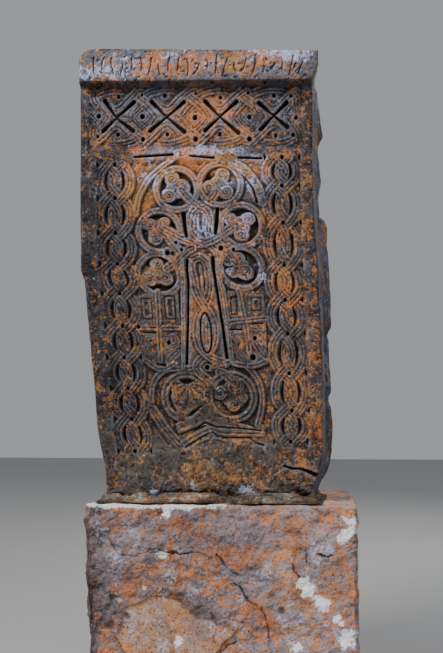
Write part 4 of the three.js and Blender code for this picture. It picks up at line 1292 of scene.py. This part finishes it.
def grown(outline, sideways, endways):
    """The outline with its points moved out from the slab's middle."""
    middle = (outline.min(axis=0) + outline.max(axis=0)) / 2
    half = (outline.max(axis=0) - outline.min(axis=0)) / 2
    return middle + (outline - middle) * (1 + np.array([sideways, endways]) / half)


def build_mortar_bed():
    foot = sampled(foot_outline(), FOOT_COUNTS)[0]
    low, high = bed_low.z, bed_high.z
    seat = SLAB_BASE - 0.0003
    around = foot[:, 0] + 1.3 * foot[:, 1]
    ragged = 1 + BED_RAGGEDNESS * 0.5 * rough(around, 0 * around, 0.09, 4, 181)
    half = (foot[:, 0].max() - foot[:, 0].min()) / 2
    endwards = smooth_share((np.abs(foot[:, 0] - foot[:, 0].min() - half) / half - 0.9) * 10)
    rim = BED_RIM_SHARE + (BED_END_SHARE - BED_RIM_SHARE) * endwards + 0.12 * rough(around, 0 * around, 0.05, 3, 178)
    worn_top = np.clip(0.62 + 0.55 * rough(around, 0 * around, 0.045, 4, 179), 0.2, 1)
    rings = []
    for layer in range(BED_LAYERS):
        share = layer / (BED_LAYERS - 1)
        z = low + share * rim * (seat - low)
        side = BED_SPREAD_SIDE - share ** 2 * BED_EDGE_ROUND * 1.6
        end = BED_SPREAD_FRONT - share ** 2 * BED_EDGE_ROUND * 1.6
        ledge = rough(around, 0 * around + layer * 0.5, 0.035, 3, 171) * 0.0045
        flat = grown(foot, side, end)
        outwards = (flat - foot) / np.maximum(np.linalg.norm(flat - foot, axis=1, keepdims=True), 1e-6)
        flat = foot + (flat - foot) * ragged[:, None] + outwards * ledge[:, None]
        rings.append(np.column_stack([flat, z + 0.002 * share * rough(around, 0 * around, 0.05, 3, 175)]))
    for share in np.linspace(0.1, 1, 10):
        side = BED_SPREAD_SIDE - BED_EDGE_ROUND * 1.6
        end = BED_SPREAD_FRONT - BED_EDGE_ROUND * 1.6
        reach_side = side + (BED_RIM_WIDTH - side) * share
        reach_end = end + (BED_RIM_WIDTH - end) * share
        flat = grown(foot, reach_side, reach_end)
        flat = foot + (flat - foot) * (1 + (ragged[:, None] - 1) * (1 - share))
        lump = rough(around, 0 * around + share * 0.4, 0.022, 4, 191) * 0.006 * (1 - share ** 3)
        bank = rim + (1 - rim) * smooth_share(share * (1.8 - 0.6 * endwards))
        z = low + bank * (seat - low) + (high - seat) * worn_top * share ** 1.5 + lump
        rings.append(np.column_stack([flat, z]))
    inner = grown(foot, BED_CLEARANCE, BED_CLEARANCE)
    rings.append(np.column_stack([inner, seat + (high - seat) * worn_top]))
    rings.append(np.column_stack([inner, np.full(len(inner), seat)]))
    first, last = rings[0], rings[-1]
    bottom = inset_rings(first, (0.3, 0.8), lambda x, y, height: height)
    top = inset_rings(last, (0.7, 0.3), lambda x, y, height: height)
    piece = closed_body("mortar_fillet", np.concatenate([bottom, np.array(rings), top]))
    smooth_shaded(piece)
    places = places_of(piece)
    # The mortar is painted darker towards its foot, as shade where it meets the pedestal, and along thin dark seams,
    # and lighter towards its top as painted highlight
    rise = (places[:, 2] - low) / (high - low)
    seams = smooth_share(-bumps(places[:, 0] / 0.05, places[:, 2] / 0.003, 226) * 2)
    store(piece, "painted_shade", np.clip(smooth_share((0.5 - rise) * 0.8) + 0.5 * seams, 0, 1))
    store(piece, "crest", smooth_share(rise) * 0.5)
    layers = bumps(places[:, 0] / 0.07, places[:, 2] / 0.004, 221)
    store(piece, "light", 0.35 + 0.4 * layers)
    store(piece, "brown", np.full(len(places), 0.5))
    store(piece, "orange", 0.5 + 0.16 * bumps(places[:, 0] / 0.1, places[:, 1] / 0.1, 201))
    store(piece, "pale_lichen_and_highlight", 0.28 + 0.2 * bumps(places[:, 0] / 0.07, places[:, 2] / 0.05, 211))
    store(piece, "haze", np.full(len(places), 0.3))
    return piece


# Shader pieces

def add_node(tree, kind, inputs=(), **settings):
    """Adds a node; an input is a socket to link or a value to set."""
    node = tree.nodes.new(kind)
    for name, value in settings.items():
        setattr(node, name, value)
    for name, value in dict(inputs).items():
        if isinstance(value, bpy.types.NodeSocket):
            tree.links.new(value, node.inputs[name])
        else:
            node.inputs[name].default_value = value
    return node


def math_node(tree, operation, *values):
    node = add_node(tree, "ShaderNodeMath", dict(enumerate(values)), operation=operation)
    return node.outputs[0]


def times(tree, first, second):
    return math_node(tree, "MULTIPLY", first, second)


def plus(tree, first, second):
    return math_node(tree, "ADD", first, second)


def mixed(tree, share, first, second, blend="MIX"):
    node = add_node(tree, "ShaderNodeMix", {0: share, 6: first, 7: second}, data_type="RGBA", blend_type=blend)
    return node.outputs[2]


def ranged(tree, value, low, high, to_low=0.0, to_high=1.0):
    inputs = {"Value": value, "From Min": low, "From Max": high, "To Min": to_low, "To Max": to_high}
    return add_node(tree, "ShaderNodeMapRange", inputs, interpolation_type="SMOOTHSTEP").outputs[0]


def noise(tree, place, scale, detail=6.0, roughness=0.6, distortion=0.0):
    inputs = {
        "Vector": place, "Scale": scale, "Detail": detail, "Roughness": roughness, "Distortion": distortion,
    }
    return add_node(tree, "ShaderNodeTexNoise", inputs).outputs["Fac"]


def new_group(name, inputs, outputs):
    """A shader node group with its sockets, and its input and output nodes."""
    group = bpy.data.node_groups.new(name, "ShaderNodeTree")
    for socket_name, socket_type in inputs:
        group.interface.new_socket(name=socket_name, in_out="INPUT", socket_type=socket_type)
    for socket_name, socket_type in outputs:
        group.interface.new_socket(name=socket_name, in_out="OUTPUT", socket_type=socket_type)
    return group, group.nodes.new("NodeGroupInput").outputs, group.nodes.new("NodeGroupOutput").inputs


# How much finer each layer of patches is, its weight, detail and distortion
PATCH_OCTAVES = [(1.0, 1.6, 5.0, 0.3), (4.0, 1.6, 4.0, 1.0), (12.0, 1.3, 3.0, 0.3)]
PATCH_EDGE = (2.68, 2.88)


def make_patch_group():
    """Ragged patches that cover a given share of the stone: lichen and bloom, and on the stele bluish-white painted
    highlights.
    """
    group, given, result = new_group(
        "lichen and highlight patches",
        [("Place", "NodeSocketVector"), ("Share", "NodeSocketFloat"), ("Scale", "NodeSocketFloat")],
        [("Mask", "NodeSocketFloat")],
    )
    raised = given["Share"]
    for finer, weight, detail, distortion in PATCH_OCTAVES:
        patches = noise(group, given["Place"], times(group, given["Scale"], finer), detail, 0.65, distortion)
        raised = plus(group, raised, times(group, patches, weight))
    group.links.new(ranged(group, raised, *PATCH_EDGE), result["Mask"])
    return group


def make_grain_group():
    """The stone's grain: pits, crumbs and a mottled tone."""
    group, given, result = new_group(
        "stone grain",
        [("Place", "NodeSocketVector"), ("Scale", "NodeSocketFloat")],
        [("Height", "NodeSocketFloat"), ("Tone", "NodeSocketFloat")],
    )
    crumb = noise(group, given["Place"], times(group, given["Scale"], 3.0), 6.0, 0.7)
    lump = noise(group, given["Place"], given["Scale"], 5.0, 0.6)
    cells = add_node(
        group, "ShaderNodeTexVoronoi",
        {"Vector": given["Place"], "Scale": times(group, given["Scale"], 1.6)},
    ).outputs["Distance"]
    pit = ranged(group, cells, 0.0, 0.35, -0.35, 0.0)
    height = plus(group, times(group, crumb, 0.45), plus(group, lump, pit))
    group.links.new(height, result["Height"])
    mottle = noise(group, given["Place"], times(group, given["Scale"], 0.22), 8.0, 0.7, 0.4)
    tone = plus(group, times(group, mottle, 0.6), times(group, crumb, 0.4))
    group.links.new(tone, result["Tone"])
    return group


patch_group = make_patch_group()
grain_group = make_grain_group()


def patch_mask(tree, place, share, scale):
    node = add_node(tree, "ShaderNodeGroup", node_tree=patch_group)
    tree.links.new(place, node.inputs["Place"])
    tree.links.new(share, node.inputs["Share"])
    node.inputs["Scale"].default_value = scale
    return node.outputs["Mask"]


def attribute(tree, name):
    return add_node(tree, "ShaderNodeAttribute", attribute_name=name).outputs["Fac"]


def colour(red, green, blue):
    return (red, green, blue, 1.0)


def stone_material(name, looks):
    """Weathered stone: a mottled ground, orange growth, pale patches that are lichen on the pedestal and painted
    highlights on the stele, painted shade in hollows and painted highlights on crests.
    """
    material = bpy.data.materials.new(name)
    material.use_nodes = True
    tree = material.node_tree
    tree.nodes.clear()
    output = tree.nodes.new("ShaderNodeOutputMaterial")
    shader = add_node(tree, "ShaderNodeBsdfPrincipled", {"Specular IOR Level": looks["specular"]})
    tree.links.new(shader.outputs[0], output.inputs["Surface"])
    place = tree.nodes.new("ShaderNodeTexCoord").outputs["Object"]
    grain = add_node(tree, "ShaderNodeGroup", node_tree=grain_group)
    tree.links.new(place, grain.inputs["Place"])
    grain.inputs["Scale"].default_value = looks["grain_scale"]
    tone = ranged(tree, grain.outputs["Tone"], 0.34, 0.64)
    lift = math_node(tree, "SUBTRACT", times(tree, attribute(tree, "light"), 0.6), 0.25)
    lightness = plus(tree, times(tree, tone, 0.75), lift)
    ground = mixed(tree, lightness, looks["dark"], looks["light"])
    brown = mixed(tree, lightness, looks["dark"], looks["brown"])
    ground = mixed(tree, attribute(tree, "brown"), ground, brown)
    # Painted shade in hollows and painted highlight on crests, as stored on each piece
    painted_shade = attribute(tree, "painted_shade")
    crest = attribute(tree, "crest")
    # Crests get more of the bluish-grey bloom, as painted highlight
    haze_share = plus(tree, attribute(tree, "haze"), times(tree, crest, looks["haze_highlight_on_crest"]))
    haze = patch_mask(tree, place, haze_share, looks["haze_scale"])
    ground = mixed(tree, times(tree, haze, looks["haze_strength"]), ground, looks["haze"])
    orange = patch_mask(tree, place, attribute(tree, "orange"), looks["orange_scale"])
    bright = mixed(tree, ranged(tree, noise(tree, place, 7.0), 0.42, 0.6), looks["orange"], looks["ochre"])
    rust = mixed(tree, tone, looks["orange_deep"], bright)
    coloured = mixed(tree, times(tree, orange, looks["orange_strength"]), ground, rust)
    # Pale patches: lichen, and on the stele bluish-white painted highlights, with more of them on the crests
    pale_share = plus(tree, attribute(tree, "pale_lichen_and_highlight"), times(tree, crest, looks["pale_highlight_on_crest"]))
    pale_lichen_and_highlight = patch_mask(tree, place, pale_share, looks["pale_scale"])
    coloured = mixed(tree, times(tree, pale_lichen_and_highlight, looks["pale_strength"]), coloured, looks["pale_lichen_and_highlight"])
    # Painted highlight: crests mixed towards a lighter colour
    highlighted = mixed(tree, times(tree, crest, looks["crest_highlight_strength"]), coloured, looks["crest"])
    gain = plus(tree, times(tree, attribute(tree, "light"), 0.55), 0.78)
    highlighted = mixed(tree, 1.0, highlighted, gain, "MULTIPLY")
    # Painted shade in the grain's pits and in the hollows
    crevice_shade = ranged(tree, grain.outputs["Height"], 0.4, 0.72, looks["crevice_shade"], 0.0)
    shade = math_node(tree, "MAXIMUM", times(tree, painted_shade, looks["painted_shade_strength"]), crevice_shade)
    shaded = mixed(tree, shade, highlighted, looks["painted_shade"])
    tree.links.new(shaded, shader.inputs["Base Color"])
    roughness = ranged(tree, grain.outputs["Height"], 0.3, 1.0, 0.98, 0.78)
    tree.links.new(roughness, shader.inputs["Roughness"])
    bump = add_node(tree, "ShaderNodeBump", {
        "Height": grain.outputs["Height"], "Strength": looks["bump"], "Distance": looks["bump_distance"],
    })
    tree.links.new(bump.outputs["Normal"], shader.inputs["Normal"])
    return material


# The darkest colour in each look is painted shade and the crest colour a painted highlight; the stele's pale colour
# is a bluish-white painted highlight, the pedestal's is lichen
STELE_LOOKS = {
    "dark": colour(0.017, 0.015, 0.016), "light": colour(0.140, 0.134, 0.158),
    "orange": colour(0.74, 0.24, 0.05), "orange_deep": colour(0.19, 0.066, 0.022), "ochre": colour(0.48, 0.24, 0.06),
    "pale_lichen_and_highlight": colour(0.43, 0.49, 0.74), "crest": colour(0.24, 0.23, 0.25), "painted_shade": colour(0.004, 0.003, 0.003),
    "brown": colour(0.165, 0.125, 0.090), "crevice_shade": 0.45,
    "haze": colour(0.20, 0.22, 0.31), "haze_scale": 13.0, "haze_strength": 0.6, "haze_highlight_on_crest": 0.3,
    "orange_scale": 14.0, "pale_scale": 18.0, "grain_scale": 110.0,
    "orange_strength": 0.86, "pale_strength": 0.75, "pale_highlight_on_crest": 0.1,
    "crest_highlight_strength": 0.36, "painted_shade_strength": 0.92, "bump": 0.7, "bump_distance": 0.0032, "specular": 0.2,
}
PEDESTAL_LOOKS = {
    "dark": colour(0.080, 0.062, 0.068), "light": colour(0.36, 0.30, 0.335),
    "orange": colour(0.70, 0.23, 0.06), "orange_deep": colour(0.28, 0.11, 0.05), "ochre": colour(0.56, 0.25, 0.09),
    "pale_lichen_and_highlight": colour(0.92, 0.95, 0.98), "crest": colour(0.30, 0.24, 0.20), "painted_shade": colour(0.010, 0.007, 0.006),
    "brown": colour(0.56, 0.36, 0.28), "crevice_shade": 0.55,
    "haze": colour(0.50, 0.50, 0.64), "haze_scale": 7.0, "haze_strength": 0.6, "haze_highlight_on_crest": 0.0,
    "orange_scale": 9.0, "pale_scale": 30.0, "grain_scale": 48.0,
    "orange_strength": 0.85, "pale_strength": 0.85, "pale_highlight_on_crest": 0.0,
    "crest_highlight_strength": 0.15, "painted_shade_strength": 0.92, "bump": 0.8, "bump_distance": 0.007, "specular": 0.2,
}
MORTAR_LOOKS = {
    "dark": colour(0.022, 0.020, 0.018), "light": colour(0.125, 0.115, 0.105),
    "brown": colour(0.15, 0.11, 0.08), "crevice_shade": 0.6,
    "orange": colour(0.42, 0.15, 0.045), "orange_deep": colour(0.18, 0.07, 0.03), "ochre": colour(0.33, 0.19, 0.07),
    "pale_lichen_and_highlight": colour(0.33, 0.37, 0.33), "crest": colour(0.20, 0.18, 0.16), "painted_shade": colour(0.008, 0.007, 0.006),
    "haze": colour(0.19, 0.20, 0.19), "haze_scale": 16.0, "haze_strength": 0.6, "haze_highlight_on_crest": 0.1,
    "orange_scale": 14.0, "pale_scale": 20.0, "grain_scale": 90.0,
    "orange_strength": 0.75, "pale_strength": 0.7, "pale_highlight_on_crest": 0.05,
    "crest_highlight_strength": 0.25, "painted_shade_strength": 0.88, "bump": 0.7, "bump_distance": 0.003, "specular": 0.2,
}


def dress(piece, node, slot, looks):
    piece.data.materials.clear()
    piece.data.materials.append(stone_material(slot, looks))
    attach(piece, "root")
    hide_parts(node)


# Floor, light and camera

FLOOR_REACH = 8
FLOOR_DROP = 0.001
# Name, place, size, energy and tint
LIGHTS = [
    ("key", (-2.6, -2.6, 4.2), 1.6, 260, (1, 0.97, 0.93)), ("fill", (3.6, -3.4, 2.2), 2.6, 70, (0.92, 0.95, 1)),
    ("rim", (1.5, 3.5, 3.2), 2.0, 80, (1, 1, 1)),
]
LIGHT_AIM = (0, 0, 1.1)


def add_floor():
    vertices = [(x * FLOOR_REACH, y * FLOOR_REACH, 0) for x, y in ((-1, -1), (1, -1), (1, 1), (-1, 1))]
    mesh = bpy.data.meshes.new("floor")
    mesh.from_pydata(vertices, [], [(0, 1, 2, 3)])
    floor = bpy.data.objects.new("floor", mesh)
    floor.location.z = -FLOOR_DROP
    bpy.context.scene.collection.objects.link(floor)
    material = bpy.data.materials.new("pale floor")
    material.use_nodes = True
    shader = material.node_tree.nodes["Principled BSDF"]
    shader.inputs["Base Color"].default_value = colour(0.36, 0.36, 0.36)
    shader.inputs["Roughness"].default_value = 0.9
    mesh.materials.append(material)


def add_light(name, place, size, energy, tint):
    data = bpy.data.lights.new(name, "AREA")
    data.size = size
    data.energy = energy
    data.color = tint
    light = bpy.data.objects.new(name, data)
    light.location = place
    light.rotation_euler = (Vector(LIGHT_AIM) - Vector(place)).to_track_quat("-Z", "Y").to_euler()
    bpy.context.scene.collection.objects.link(light)


def add_studio():
    world = bpy.data.worlds.new("studio")
    world.use_nodes = True
    background = world.node_tree.nodes["Background"]
    background.inputs["Color"].default_value = colour(0.62, 0.64, 0.67)
    background.inputs["Strength"].default_value = 0.55
    bpy.context.scene.world = world
    for light in LIGHTS:
        add_light(*light)


CAMERA_DISTANCE = 4.64
CAMERA_HEIGHT = 1.198
CAMERA_TURN = 3.0
LENS = 77.5
SENSOR_WIDTH = 36


def add_camera():
    aim = Vector((0, FACE_Y, CAMERA_HEIGHT))
    turn = math.radians(CAMERA_TURN)
    data = bpy.data.cameras.new("camera")
    data.lens = LENS
    data.sensor_width = SENSOR_WIDTH
    data.sensor_fit = "AUTO"
    camera = bpy.data.objects.new("camera", data)
    camera.location = aim + Vector((math.sin(turn), -math.cos(turn), 0)) * CAMERA_DISTANCE
    camera.rotation_euler = (aim - camera.location).to_track_quat("-Z", "Y").to_euler()
    bpy.context.scene.collection.objects.link(camera)
    bpy.context.scene.camera = camera


# The carving, laid in the order it lies: fields, bands, then the deepest cuts
sink_fields()
lay_lattice()
for joints in COLUMNS:
    lay_column(joints)
lay_cross()
lay_arch()
for small_cross in SMALL_CROSSES:
    lay_small_cross(**small_cross)
lay_roundel()
cut(FOOT_CRACK, 24)
cut_cornice_strokes()

dress(build_stele(), "stele", "stele_stone", STELE_LOOKS)
dress(build_pedestal(), "pedestal", "pedestal_stone", PEDESTAL_LOOKS)
dress(build_mortar_bed(), "mortar_bed", "mortar", MORTAR_LOOKS)
add_floor()
add_studio()
add_camera()
